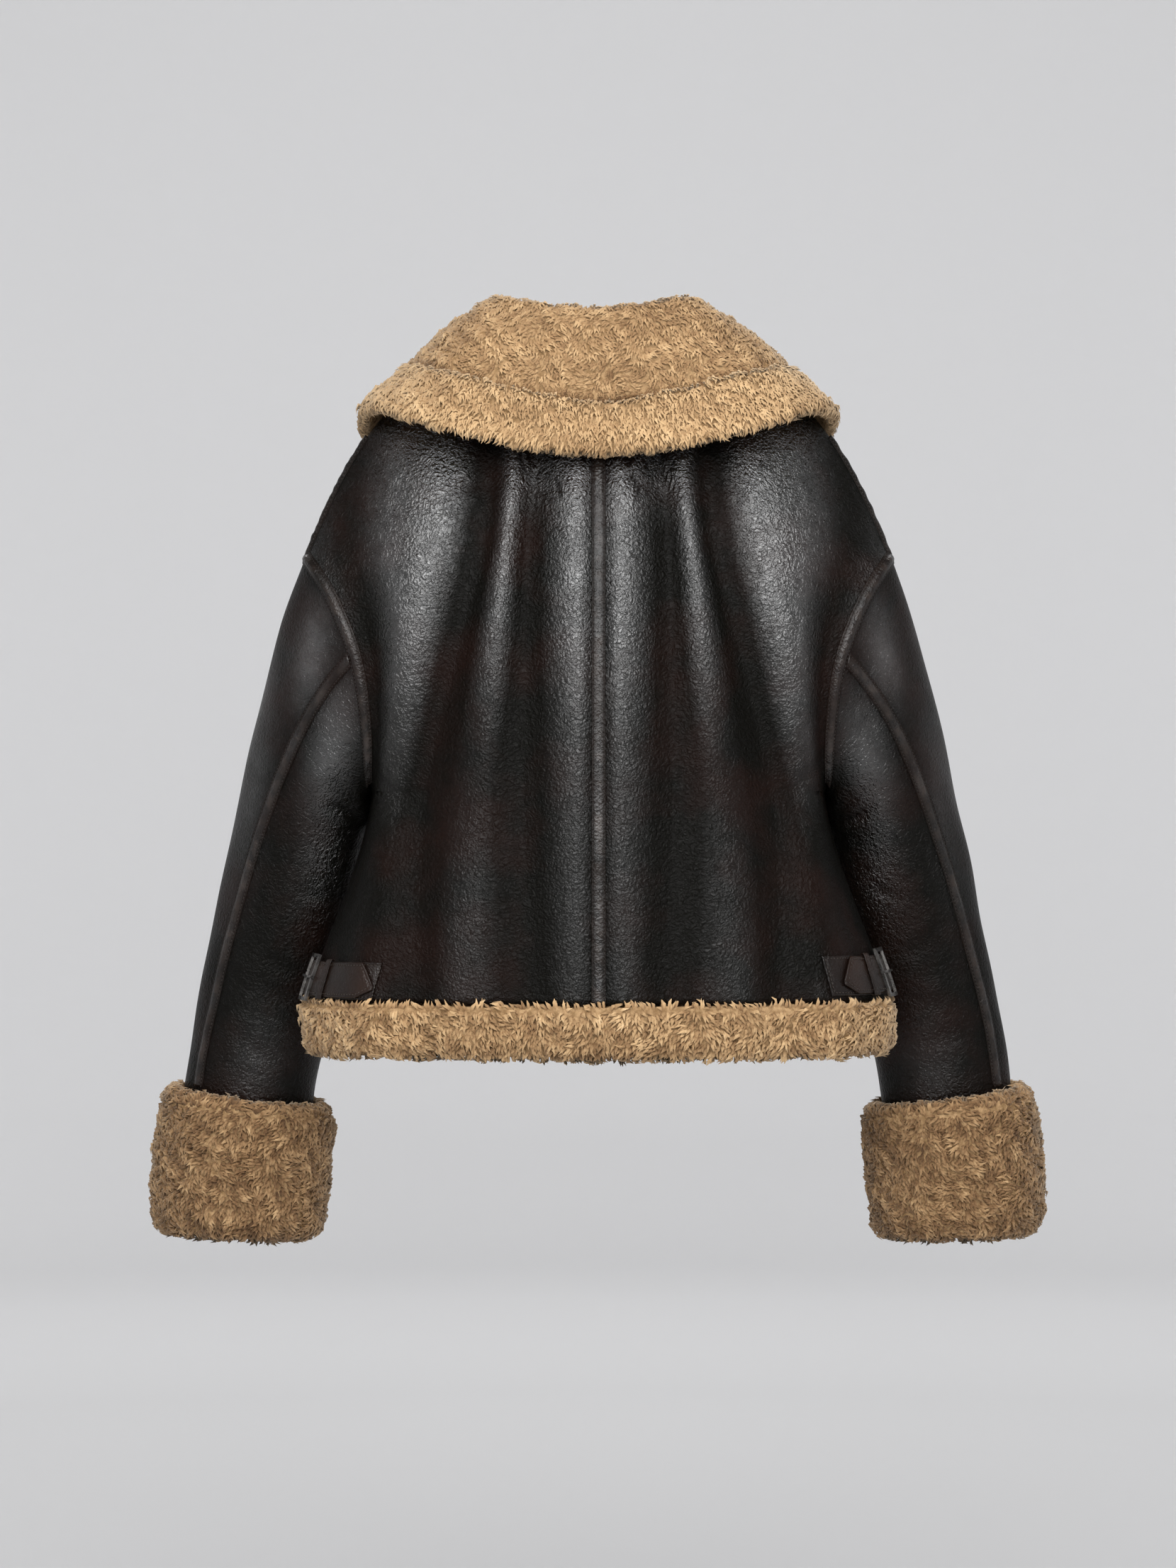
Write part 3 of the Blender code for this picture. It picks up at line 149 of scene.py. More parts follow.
CUFF_TOP = 0.798
CUFF_SECTION = (
    (0.02, 0.0008),
    (0.0, 0.011),
    (0.06, 0.0185),
    (0.3, 0.0215),
    (0.62, 0.0222),
    (0.88, 0.0205),
    (0.985, 0.0135),
    (1.0, 0.006),
    (0.97, 0.0008),
    (0.5, 0.0008),
)
HEM_BAND = (
    (0.0035, HEM_Z - SEAM_GAP),
    (0.0055, -0.5425),
    (0.006, -0.5555),
    (0.0045, -0.57),
    (-0.001, -0.5785),
    (-0.0075, -0.579),
    (-0.0115, -0.57),
    (-0.0125, -0.5545),
    (-0.012, HEM_Z - SEAM_GAP),
)
HEM_END = 0.0065

COLLAR = {
    "around": (-12.0, 0.0, 25.0, 50.0, 75.0, 100.0, 125.0, 150.0, 168.0),
    "azimuth": (-15.0, 0.0, 31.0, 50.0, 70.0, 91.0, 114.0, 131.0, 145.0),
    "fold_r": (0.012, 0.012, 0.012, 0.014, 0.014, 0.013, 0.013, 0.013, 0.013),
    "fold_z": (0.044, 0.042, 0.046, 0.053, 0.05, 0.0435, 0.024, -0.004, -0.029),
    "seam_r": (0.046, 0.045, 0.055, 0.073, 0.081, 0.083, 0.089, 0.091, 0.083),
    "seam_z": (-0.039, -0.041, -0.031, -0.016, -0.007, -0.008, -0.032, -0.072, -0.103),
    "edge_r": (0.05, 0.049, 0.066, 0.094, 0.108, 0.1155, 0.121, 0.118, 0.105),
    "edge_z": (-0.078, -0.0785, -0.0715, -0.055, -0.039, -0.046, -0.079, -0.121, -0.15),
}
COLLAR_END = 165.0
NECK_STEP = 90.0 / NECK_COLUMNS
FOOT_LIFT = 0.001
COLLAR_ASKEW = -0.004
COLLAR_WALL = 0.012
STAND_INSIDE = -0.011
STAND_OUTSIDE = 0.0012
STAND_REACH = 0.003
FALL_BULGE = 0.004
BORDER_HALF = 0.0082
BORDER_TOP = 0.8

WAIST = {
    "left": {"low": -0.5322, "high": -0.501, "tab_end": 0.113, "tip": 0.1095},
    "right": {"low": -0.529, "high": -0.496, "tab_end": 0.103, "tip": 0.089},
}
TAB_START = 0.004
STRAP_START = -0.085
STRAP_POINT = 0.015
STRAP_INSET = 0.0012
KEEPER_AT = 0.052
KEEPER_HALF = 0.0038
TAB = (0.0008, 0.0026)  # under face and upper face above the leather
KEEPER_LOW, KEEPER_TOP = 0.003, 0.0078
STRAP = (0.004, 0.006)
KEEPER_WALL = 0.0009
PLATE_ROLL = 0.0009  # how far in from its edge a plate is rolled
PLATE_GROOVE = (0.0026, 0.001)  # the stitch line's distance from the edge, and its half width
PLATE_WORN = 0.0016

ZIP_SLOT = 0.0042
TAPE_OUT = 0.016
ZIP_LOW_Z = -0.575
ZIP_TOP_Z = -0.082

# Where the leather shines: on the fold ridges its coat is partly worn gloss and partly painted highlight,
# and its dull valleys are painted shade. A share by height paints more highlight high up, where light falls.
# Soft spots as x, z, two reaches and share paint highlight where the share is above zero and shade below it.
# The next two heights: how far below the mean surface of the folds it is dull, how far above it fully shines.
SHINE_LOW = 0.0034
SHINE_HIGH = 0.005
SHINE_MOST = {"shine": 1.0, "tone": 0.36}
HIGHLIGHT_BY_HEIGHT = {"z": (-0.56, -0.44, -0.32, -0.22, -0.12, -0.05), "share": (0.22, 0.27, 0.4, 0.92, 1.0, 0.9)}
PANEL_HIGHLIGHT_AND_SHADE_SPOTS = (
    (0.046, -0.085, 0.022, 0.034, 0.55),
    (0.16, -0.13, 0.034, 0.06, 0.35),
    (0.094, -0.3, 0.024, 0.13, -0.18),
    (0.195, -0.44, 0.036, 0.09, -0.42),
)
# Spots of painted highlight on each sleeve, where the light falls
SLEEVE_HIGHLIGHT_SPOTS = {
    "left": (
        (-0.24, -0.245, 0.014, 0.04, 0.95),
        (-0.224, -0.322, 0.018, 0.055, 1.0),
        (-0.292, -0.35, 0.014, 0.1, 0.36),
        (-0.228, -0.42, 0.02, 0.045, 0.45),
        (-0.296, -0.6, 0.022, 0.05, 0.25),
    ),
    "right": (
        (0.238, -0.245, 0.014, 0.04, 0.8),
        (0.226, -0.335, 0.018, 0.055, 0.85),
        (0.292, -0.37, 0.013, 0.09, 0.26),
        (0.232, -0.43, 0.02, 0.045, 0.35),
        (0.29, -0.61, 0.022, 0.05, 0.22),
    ),
}

# The leather is darker this near to a seam, and rough sizes of the pieces tell how near that is
SEAM_REACH = 0.012
PANEL_WIDTH = 0.24
SLEEVE_LONG = 0.6
SLEEVE_COLUMN = 0.004

# Finer relief of the leather, as seen from behind: x0, z0, x1, z1, half width, depth
PLEATS = {
    "left": ((-0.03, -0.06, -0.03, -0.116, 0.0013, 0.0042), (-0.06, -0.06, -0.06, -0.098, 0.0026, 0.0016)),
    "right": ((0.032, -0.06, 0.0325, -0.113, 0.0013, 0.0042), (0.058, -0.06, 0.0585, -0.108, 0.0013, 0.004)),
}
PLEAT_TAPER = 0.25
PANEL_CREASES = {
    "left": (
        (-0.206, -0.48, -0.16, -0.47, 0.004, 0.0008),
        (-0.196, -0.502, -0.148, -0.496, 0.0035, 0.0007),
        (-0.205, -0.452, -0.175, -0.447, 0.0035, 0.0007),
        (-0.186, -0.33, -0.15, -0.37, 0.006, 0.0016),
        (-0.19, -0.29, -0.16, -0.32, 0.005, 0.0012),
    ),
    "right": (
        (0.206, -0.478, 0.17, -0.468, 0.004, 0.0008),
        (0.19, -0.33, 0.158, -0.368, 0.006, 0.0016),
        (0.192, -0.288, 0.166, -0.312, 0.005, 0.0012),
        (0.15, -0.496, 0.19, -0.506, 0.0035, 0.0007),
    ),
}
SLEEVE_CREASES = {
    "left": (
        (-0.203, -0.388, -0.23, -0.372, 0.006, 0.0036),
        (-0.25, -0.278, -0.214, -0.296, 0.006, 0.0034),
        (-0.262, -0.438, -0.228, -0.452, 0.0055, 0.0016),
        (-0.29, -0.49, -0.252, -0.52, 0.007, 0.0024),
        (-0.312, -0.56, -0.272, -0.592, 0.007, 0.0026),
        (-0.33, -0.612, -0.286, -0.65, 0.008, 0.0022),
        (-0.25, -0.545, -0.285, -0.535, 0.006, 0.0018),
        (-0.3, -0.42, -0.285, -0.47, 0.008, 0.0018),
    ),
    "right": (
        (0.203, -0.388, 0.232, -0.37, 0.006, 0.0036),
        (0.252, -0.29, 0.216, -0.312, 0.006, 0.003),
        (0.228, -0.432, 0.262, -0.452, 0.0055, 0.0018),
        (0.25, -0.5, 0.292, -0.478, 0.007, 0.0022),
        (0.272, -0.575, 0.316, -0.56, 0.007, 0.0026),
        (0.288, -0.64, 0.33, -0.612, 0.008, 0.0022),
        (0.262, -0.53, 0.3, -0.545, 0.006, 0.0016),
        (0.286, -0.4, 0.302, -0.45, 0.008, 0.0018),
    ),
}
UNDERARM_PUFF = 0.009
SLEEVE_BULGE = (0.226, -0.338, 0.03, 0.0045)  # x, z, reach and height of the puff above the armpit

# Seam tapes: distance from the middle and height above the leather, and their stitches
TAPE_PROFILE = ((0.0062, 0.0001), (0.0058, 0.0009), (0.0046, 0.0007), (0.0036, 0.0013), (0.0018, 0.0021))
TAPE_CROWN = 0.0023
TAPE_PUCKER = 0.0003
TAPE_SINK = 0.0006
TAPE_STITCH_ROW = 2
STITCH_PITCH = 0.0033
STITCH_LONG = 0.0022
STITCH_HALF = 0.00032
STITCH_STEP = 0.0005

# Fur: spacing of the locks, their length and half width, how they swirl, their mean tone, the share of the
# way round that has locks, how strong their lights and darks are, and where the seam's shade starts
LOCK_SIDES = 3
LOCK_SIZES = ("pitch", "length", "half", "swirl", "tone", "shown", "contrast", "seam_at")
LOCK_TABLE = {
    "collar": (0.0025, 0.0068, 0.00125, 1.3, 0.43, 0.57, 1.0, 0.8),
    "collar_border": (0.0024, 0.008, 0.00115, 0.3, 0.57, 0.7, 0.75, 1.0),
    "hem_band": (0.0028, 0.009, 0.00145, 1.1, 0.45, 0.88, 1.3, 1.0),
    # The cuffs' lower mean tone is painted shade, for the light that falls off towards them
    "cuff": (0.0028, 0.0086, 0.0014, 1.5, 0.26, 0.6, 1.3, 1.0),
}
LOCKS = {kind: dict(zip(LOCK_SIZES, sizes)) for kind, sizes in LOCK_TABLE.items()}
LOCK_PROFILE = (  # share of the half width, way forward and way up, from the root to the tip
    (0.9, 0.0, -0.15),
    (1.0, 0.28, 0.33),
    (0.0, 0.82, 0.22),
)
RING_OF_POINT = [0] * LOCK_SIDES + [1] * LOCK_SIDES + [1]
# Along a lock the tone is darkest at the root, painted shade where the locks crowd, and lightest at the tip
LOCK_TONES = (-0.16, 0.02, 0.1)  # root, middle and tip
CLUMP = (0.012, 7)  # size of the wool's clumps, and the seed of their places
FUR_LUMPS = ((*CLUMP, 0.0016), (0.03, 8, 0.0008))  # sizes, seeds and heights
FUR_GRID = 0.0045  # spacing of the woolly base's points
SEAM_SHADE = 0.24
SEAM_FLAT = 0.45
FUR_SHADING = 0.55  # how much of a lock's own roundness its shading shows, beside the fur's surface
BORDER_TUCK = 0.0032  # the border's wool reaches this far under the collar's
FUR_SINK = 0.003  # the woolly base lies this far under the fur's outer surface

# Materials: dark and warm colour of each leather, its roughness, its shine and how coarse its grain is
LEATHERS = {
    "leather": ((0.0028, 0.0025, 0.0018), (0.008, 0.0037, 0.0026), 0.27, "shine", 1.0),
    "tape": ((0.006, 0.0045, 0.0036), (0.01, 0.0054, 0.0042), 0.3, "tone", 0.5),
    "tab": ((0.005, 0.0036, 0.0028), (0.0095, 0.0048, 0.0034), 0.36, 0.18, 0.5),
    "strap": ((0.009, 0.0055, 0.004), (0.018, 0.0085, 0.0055), 0.4, 0.18, 0.4),
}
TAPE_RUBBED = (0.026, 0.018, 0.014)
FUR_COLOURS = (
    (0.0, (0.07, 0.034, 0.014)),
    (0.25, (0.17, 0.092, 0.04)),
    (0.48, (0.32, 0.195, 0.094)),
    (0.72, (0.52, 0.345, 0.18)),
    (1.0, (0.74, 0.55, 0.33)),
)
WOOL_COLOURS = ((0.35, (0.23, 0.14, 0.066)), (0.65, (0.4, 0.26, 0.136)))
PILE_COLOURS = ((0.0, (0.16, 0.085, 0.036)), (0.6, (0.4, 0.26, 0.135)), (1.0, (0.52, 0.36, 0.2)))
METAL_COLOURS = ((0.3, (0.09, 0.085, 0.08)), (0.7, (0.2, 0.19, 0.18)))
CLOTH_COLOURS = ((0.0, (0.01, 0.008, 0.007)), (1.0, (0.032, 0.026, 0.022)))
THREADS = {"thread": (0.02, 0.015, 0.012), "light_thread": (0.05, 0.038, 0.03)}

# Camera, stage and lights
CAMERA_AT = (-0.0087, -3.5, -0.3537)
VIEW_HEIGHT = 1.3272
SENSOR = 36.0
FLOOR_Z = -1.25
STUDIO_RADIUS = 5.4
STUDIO_BEND = 1.2
STUDIO_TOP = 4.5
STUDIO_SIDES = 96
# Shade of the backdrop by the way out along the floor and up the wall, which evens out its light
STUDIO_WAY = 12.0
STUDIO_SHADES = (
    (1.8, 0.56), (2.6, 0.57), (3.7, 0.7), (4.7, 0.755), (5.2, 0.765), (5.8, 0.735), (6.6, 0.71), (7.9, 0.65),
)
# Each light: where it is, where it points, its size and its power
SOFTBOXES = {
    "front_softbox": ((0.0, -2.7, 0.75), (0.0, 0.0, -0.25), (3.0, 1.7), 96),
    "high_softbox": ((0.0, -1.6, 2.1), (0.0, 0.0, -0.2), (3.0, 0.9), 46),
    "rear_softbox": ((0.0, 2.9, 1.7), (0.0, 0.0, -0.3), (2.6, 1.4), 52),
}
WASH_SIZE, WASH_POWER = (2.6, 0.8), 58
WASH_FROM, WASH_TO = (1.6, 2.4), (STUDIO_RADIUS, 1.2)  # distance from the middle and height
WORLD_STRENGTH = 0.1


# Curves and small vector helpers

def cubic(u, step, values, slopes, i):
    """The curve from value i to the next, at share u of the step between them."""
    start = (1 + 2 * u) * (1 - u) ** 2 * values[i] + u * (1 - u) ** 2 * step * slopes[i]
    end = u * u * (3 - 2 * u) * values[i + 1] - u * u * (1 - u) * step * slopes[i + 1]
    return start + end


def smooth_curve(knots, values, at):
    """A smooth curve through the table's values, read at one place or many."""
    knots = np.asarray(knots, float)
    values = np.asarray(values, float)
    at = np.asarray(at, float)
    slopes = np.gradient(values, knots)
    i = np.clip(np.searchsorted(knots, at, side="right") - 1, 0, len(knots) - 2)
    step = knots[i + 1] - knots[i]
    return cubic(np.clip((at - knots[i]) / step, 0, 1), step, values, slopes, i)


def unit(v):
    return v / np.maximum(np.linalg.norm(v, axis=-1, keepdims=True), 1e-12)


def mirrored(points, side):
    return points * np.array([side, 1.0, 1.0])


def distances(line):
    """How far along its line each point lies."""
    return np.concatenate([[0], np.cumsum(np.linalg.norm(np.diff(line, axis=0), axis=1))])


def on_line(at, steps, values):
    """Points or directions of a line, read at distances along it."""
    return np.stack([np.interp(at, steps, values[:, k]) for k in range(3)], axis=-1)


def wander(points, scale, seed):
    """A smooth repeatable noise of about -1 to 1 at points, whose waves are about scale long."""
    rng = np.random.default_rng(seed)
    total = np.zeros(points.shape[:-1])
    for _ in range(6):
        way = unit(rng.normal(size=3)) * 2 * math.pi / scale * rng.uniform(0.6, 1.5)
        total += np.sin(points @ way + rng.uniform(0, 2 * math.pi))
    return total / 3.0


def crease_relief(x, z, creases, taper_power=0.8):
    """Soft troughs with raised lips along short lines."""
    height = np.zeros_like(x)
    for x0, z0, x1, z1, half, depth in creases:
        length = math.hypot(x1 - x0, z1 - z0)
        ux, uz = (x1 - x0) / length, (z1 - z0) / length
        along_it = ((x - x0) * ux + (z - z0) * uz) / length
        bend = 0.12 * length * np.sin(math.pi * np.clip(along_it, 0, 1))
        off = ((z - z0) * ux - (x - x0) * uz + bend) / half
        taper = np.clip(np.sin(math.pi * np.clip(along_it, 0, 1)), 0, 1) ** taper_power
        height -= depth * (1 - off**2) * np.exp(-(off**2)) * taper
    return height


# Torso

def torso(face, s, t):
    """Smooth outer surface of the right half. s runs from the centre line (0) to the side seam or
    armhole (1), t from the hem (0) to the neckline and shoulder seam (1)."""
    s, t = np.broadcast_arrays(np.asarray(s, float), np.asarray(t, float))
    outward = -1.0 if face == "back" else 1.0
    below = t < ARMPIT_T
    low = np.clip(t / ARMPIT_T, 0, 1)
    rise = np.clip((t - ARMPIT_T) / (1 - ARMPIT_T), 0, 1)
    neck_z = NECK_Z[face]
    low_z = HEM_Z + (ARMPIT_Z - HEM_Z) * low
    centre_z = np.where(below, low_z, ARMPIT_Z + (neck_z - ARMPIT_Z) * rise)
    ring_z = (ARMPIT_Z + TIP_Z) / 2 - (TIP_Z - ARMPIT_Z) / 2 * np.cos(math.pi * rise)
    edge_z = np.where(below, low_z, ring_z)
    ring_x = smooth_curve(ARMHOLE["z"], ARMHOLE["x"], ring_z)
    if face == "front":
        ring_x = ring_x - FRONT_INSET * np.sin(math.pi * rise) ** 2
    edge_x = np.where(below, smooth_curve(SIDE_SEAM["z"], SIDE_SEAM["x"], low_z), ring_x)
    ring_mid = ARMPIT_Y + (SHOULDER_Y - ARMPIT_Y) * rise
    mid_y = np.where(below, smooth_curve(SIDE_SEAM["z"], SIDE_SEAM["y"], low_z), ring_mid)
    edge_y = mid_y + outward * ARMHOLE_HALF_DEPTH * np.where(below, 0.0, np.sin(math.pi * rise))
    centre_y = smooth_curve(CENTRE[face]["z"], CENTRE[face]["y"], centre_z)

    reach = np.clip((edge_y - mid_y) / (centre_y - mid_y), 0, 1)
    most = np.arccos(reach ** (1 / FLATNESS))
    across = np.sin(s * most) / np.sin(most)
    x = edge_x * across
    y = mid_y + (centre_y - mid_y) * np.clip(np.cos(s * most), 0, 1) ** FLATNESS

    top_x = TIP_X * np.sin(s * math.pi / 2)
    edge_share = rise**24
    in_neck = np.sqrt(np.clip(1 - (top_x / NECK_HALF) ** 2, 0, 1)) * edge_share
    in_neck = in_neck + np.exp(-1.1 * (top_x / NECK_HALF) ** 2) * (1 - edge_share)
    neck_y = float(CENTRE[face]["y"][-1])
    seam_y = SHOULDER_Y + (neck_y - SHOULDER_Y) * in_neck
    plain_y = SHOULDER_Y + (neck_y - SHOULDER_Y) * np.clip(np.cos(s * math.pi / 2), 0, 1) ** FLATNESS
    turn = 1 - np.sqrt(np.clip(1 - rise**ROUNDING, 0, 1))
    y = y + turn * (seam_y - plain_y)

    past_neck = np.clip((top_x - NECK_HALF) / (TIP_X - NECK_HALF), 0, 1)
    top_z = neck_z * in_neck ** NECK_POWER[face] + TIP_Z * past_neck**SHOULDER_POWER
    top_shape = (neck_z - top_z) / (neck_z - TIP_Z)
    shape = (1 - rise**3) * across**2.6 + rise**3 * top_shape
    z = centre_z - (centre_z - edge_z) * shape
    if face == "front":
        late = rise**8
        past_collar = np.clip((s - NECK_S) / 0.2, 0, 1) ** 2
        z = z + CROWN * 4 * late * (1 - late) * past_collar * (1 - s**6)
    return np.stack([x, y, z], axis=-1)


def torso_normal(face, s, t):
    step = 1e-3
    along_s = torso(face, np.minimum(s + step, 1), t) - torso(face, np.maximum(s - step, 0), t)
    along_t = torso(face, s, np.minimum(t + step, 1)) - torso(face, s, np.maximum(t - step, 0))
    normal = unit(np.cross(along_s, along_t))
    return normal if face == "back" else -normal


def fold_wave(face, x, z):
    """Height of the long folds before they fade: round on the ridges and creased in the valleys."""
    table = BACK_FOLDS if face == "back" else FRONT_FOLDS
    heights = BACK_FOLD_HEIGHT if face == "back" else FRONT_FOLD_HEIGHT
    names = list(heights)
    places = [smooth_curve(table["z"], table[name], z) for name in names]
    height = np.zeros_like(x)
    for i in range(len(names) - 1):
        u = (x - places[i]) / np.maximum(places[i + 1] - places[i], 1e-6)
        first, last = heights[names[i]], heights[names[i + 1]]
        turn = np.clip(u, 0, 1) * math.pi / 2
        share = 1 - np.cos(turn) if first > last else np.sin(turn)
        wave = first + (last - first) * (FOLD_CREASE * share + (1 - FOLD_CREASE) * (1 - np.cos(2 * turn)) / 2)
        height = np.where((u >= 0) & (u < 1), wave, height)
    return height


def fold_height(face, x, z):
    return fold_wave(face, x, z) * smooth_curve(FOLD_FADE["z"], FOLD_FADE["share"], z)


def panel_shine_and_painted_light(face, grid, side):
    """How much a panel shines at each point: fully on ridges and little in valleys, partly worn gloss and
    partly painted highlight and shade, with more painted highlight high up and at spots, and the pleats'
    slits dulled as painted shade.
    """
    x, z = np.abs(grid[..., 0]), grid[..., 2]
    ridge = np.clip((fold_wave(face, x, z) + SHINE_LOW) / (SHINE_LOW + SHINE_HIGH), 0, 1)
    # Ridges shine, valleys dull: partly worn gloss, partly painted highlight and shade; painted highlight
    # high up
    share = ridge**1.3 * smooth_curve(HIGHLIGHT_BY_HEIGHT["z"], HIGHLIGHT_BY_HEIGHT["share"], z)
    if face == "back":
        # Spots of painted highlight, and of painted shade where their share is below zero
        for spot_x, spot_z, reach_x, reach_z, most in PANEL_HIGHLIGHT_AND_SHADE_SPOTS:
            share = share + most * np.exp(-(((x - spot_x) / reach_x) ** 2) - ((z - spot_z) / reach_z) ** 2)
        share = np.clip(share, 0.02, 1)
        # Painted shade: the pleats' slits are dulled
        slit = np.clip(-crease_relief(grid[..., 0], z, PLEATS[side], PLEAT_TAPER) / 0.0015, 0, 1)
        share = share * (1 - 0.9 * slit)
    return share


def sleeve_painted_highlights(grid, side):
    # A dull sleeve with spots of painted highlight
    share = np.full(grid.shape[:2], 0.03)
    for x, z, reach_x, reach_z, most in SLEEVE_HIGHLIGHT_SPOTS[side]:
        off = ((grid[..., 0] - x + 0.17 * (grid[..., 2] - z) * SIDES[side]) / reach_x) ** 2
        share += most * np.exp(-off - ((grid[..., 2] - z) / reach_z) ** 2)
    return np.clip(share, 0, 1)


ARMHOLE_CENTRE = np.array([0.219, -0.004, -0.262])
ARMPIT_TURN = 0.8
ARMHOLE_AXIS = unit(np.array([TIP_Z - ARMPIT_Z, 0.0, -(TIP_X - ARMHOLE["x"][0])]))


def armhole_direction(points):
    """The wall's direction round the armhole: out of its ring, and turned to the side at the armpit."""
    off = points - ARMHOLE_CENTRE
    off = off - (off @ ARMHOLE_AXIS)[..., None] * ARMHOLE_AXIS
    low = np.clip((TIP_Z - points[..., 2]) / (TIP_Z - ARMPIT_Z), 0, 1)
    return unit(unit(off) + (low**3)[..., None] * np.array([ARMPIT_TURN, 0.0, 0.0]))


def panel(face, s, t, side="right"):
    """Folded and creased outer surface on one side, and its wall directions, for columns s and rows t."""
    cols, rows = np.meshgrid(s, t, indexing="ij")
    base = torso(face, cols, rows)
    normal = torso_normal(face, cols, rows)
    normal[:, -1] = normal[:, -2] if len(t) > 1 else normal[:, -1]
    calm = np.clip((1 - cols) / 0.08, 0, 1) * np.clip((1 - rows) / 0.05, 0, 1)
    height = fold_height(face, base[..., 0], base[..., 2]) * calm
    if face == "back":
        x = base[..., 0] * SIDES[side]
        edge = np.clip((1 - cols) / 0.05, 0, 1)
        height = height + crease_relief(x, base[..., 2], PANEL_CREASES[side]) * edge
        height = height + crease_relief(x, base[..., 2], PLEATS[side], PLEAT_TAPER)
    outer = base + normal * height[..., None]
    on_armhole = (cols >= 1) & (rows >= ARMPIT_T)
    direction = np.where(on_armhole[..., None], armhole_direction(base), normal)
    return mirrored(outer, SIDES[side]), mirrored(direction, SIDES[side])


# Sleeve

def armhole_ring(angle):
    """The armhole's edge at an angle in radians: 0 at the shoulder tip, a quarter turn at the back."""
    turn = np.mod(angle, 2 * math.pi)
    at_back = turn <= math.pi
    rise = np.where(at_back, 1 - turn / math.pi, turn / math.pi - 1)
    t = ARMPIT_T + (1 - ARMPIT_T) * rise
    ones = np.ones_like(t)
    return np.where(at_back[..., None], torso("back", ones, t), torso("front", ones, t))


def sleeve_section(angle, at):
    """Elliptical section of the sleeve, leaning as its outer and inner edges lie."""
    out_x, out_z, in_x, in_z, mid_y, half_depth = (
        smooth_curve(SLEEVE["at"], SLEEVE[name], at)
        for name in ("out_x", "out_z", "in_x", "in_z", "mid_y", "half_depth")
    )
    x = (out_x + in_x) / 2 + (out_x - in_x) / 2 * np.cos(angle)
    z = (out_z + in_z) / 2 + (out_z - in_z) / 2 * np.cos(angle)
    y = mid_y - half_depth * np.sin(angle)
    return np.stack([x, y, z], axis=-1)


def sleeve(angle, at):
    """Outer surface of the right sleeve. The first ring is the armhole's own edge."""
    angle, at = np.broadcast_arrays(np.asarray(angle, float), np.asarray(at, float))
    fade = np.clip(1 - at / SETTLE, 0, 1) ** 2
    away = armhole_ring(angle) - sleeve_section(angle, np.zeros_like(at))
    return sleeve_section(angle, at) + away * fade[..., None] + ARMHOLE_AXIS * SLEEVE_GAP


def sleeve_normal(angle, at):
    step = 1e-3
    around = sleeve(angle + step, at) - sleeve(angle - step, at)
    down = sleeve(angle, np.minimum(at + step, 1)) - sleeve(angle, np.maximum(at - step, 0))
    normal = unit(np.cross(around, down))
    return np.where(np.asarray(at)[..., None] <= 0, armhole_direction(armhole_ring(angle)), normal)


def seam_warp(ring_angle, at):
    """Angle on the sleeve of the column that starts at ring_angle on the armhole, in degrees."""
    seam = smooth_curve(SLEEVE["at"], SLEEVE["back_seam"], at)
    near = ring_angle * seam / ARMHOLE_BACK_SEAM
    far = 180 - (180 - ring_angle) * (180 - seam) / (180 - ARMHOLE_BACK_SEAM)
    warped = np.where(ring_angle <= ARMHOLE_BACK_SEAM, near, far)
    return np.where((ring_angle > 0) & (ring_angle < 180), warped, ring_angle)


def sleeve_grid(ring_angles, rows, side):
    """Creased outer points and wall directions of a sleeve for those armhole angles, in degrees."""
    angles, at = np.meshgrid(np.asarray(ring_angles, float), np.asarray(rows, float), indexing="ij")
    angle = np.radians(seam_warp(angles, at))
    points, normal = sleeve(angle, at), sleeve_normal(angle, at)
    facing = np.clip(np.sin(angle) * 1.6, 0, 1) * np.clip(at / 0.03, 0, 1)
    facing = facing * np.clip(np.abs(angles - ARMHOLE_BACK_SEAM) / 24 - 0.15, 0, 1)
    x = points[..., 0] * SIDES[side]
    relief = crease_relief(x, points[..., 2], SLEEVE_CREASES[side])
    bulge_x, bulge_z, reach, height = SLEEVE_BULGE
    off = np.hypot(points[..., 0] - bulge_x, points[..., 2] - bulge_z) / reach
    relief = relief + height * np.exp(-(off**2))
    soft = wander(points * SIDES[side], 0.07, 5) * 0.001 * np.clip(at / 0.1, 0, 1)
    inner_turn = np.abs(np.mod(angle, 2 * math.pi) - math.pi)
    soft = soft + UNDERARM_PUFF * np.exp(-((inner_turn / 0.7) ** 2) - ((at - 0.15) / 0.09) ** 2)
    points = points + normal * (relief * facing + soft)[..., None]
    return mirrored(points, SIDES[side]), mirrored(normal, SIDES[side])


# Meshes

def quads(count_u, count_v, wrap_u=False, wrap_v=False):
    i, j = np.meshgrid(
        np.arange(count_u if wrap_u else count_u - 1),
        np.arange(count_v if wrap_v else count_v - 1),
        indexing="ij",
    )
    i2, j2 = (i + 1) % count_u, (j + 1) % count_v
    corners = (i * count_v + j, i2 * count_v + j, i2 * count_v + j2, i * count_v + j2)
    return np.stack(corners, axis=-1).reshape(-1, 4)


def sort_normals(mesh, closed=True):
    """Turns all faces the same way, and those of a closed mesh outwards."""
    work = bmesh.new()
    work.from_mesh(mesh)
    bmesh.ops.recalc_face_normals(work, faces=work.faces)
    if closed and work.calc_volume(signed=True) < 0:
        bmesh.ops.reverse_faces(work, faces=work.faces)
    work.to_mesh(mesh)
    work.free()


def set_values(mesh, name, values, kind="FLOAT", field="value"):
    """Gives a mesh's points a named value."""
    flat = np.asarray(values, np.float32).ravel()
    mesh.attributes.new(name, kind, "POINT").data.foreach_set(field, flat)


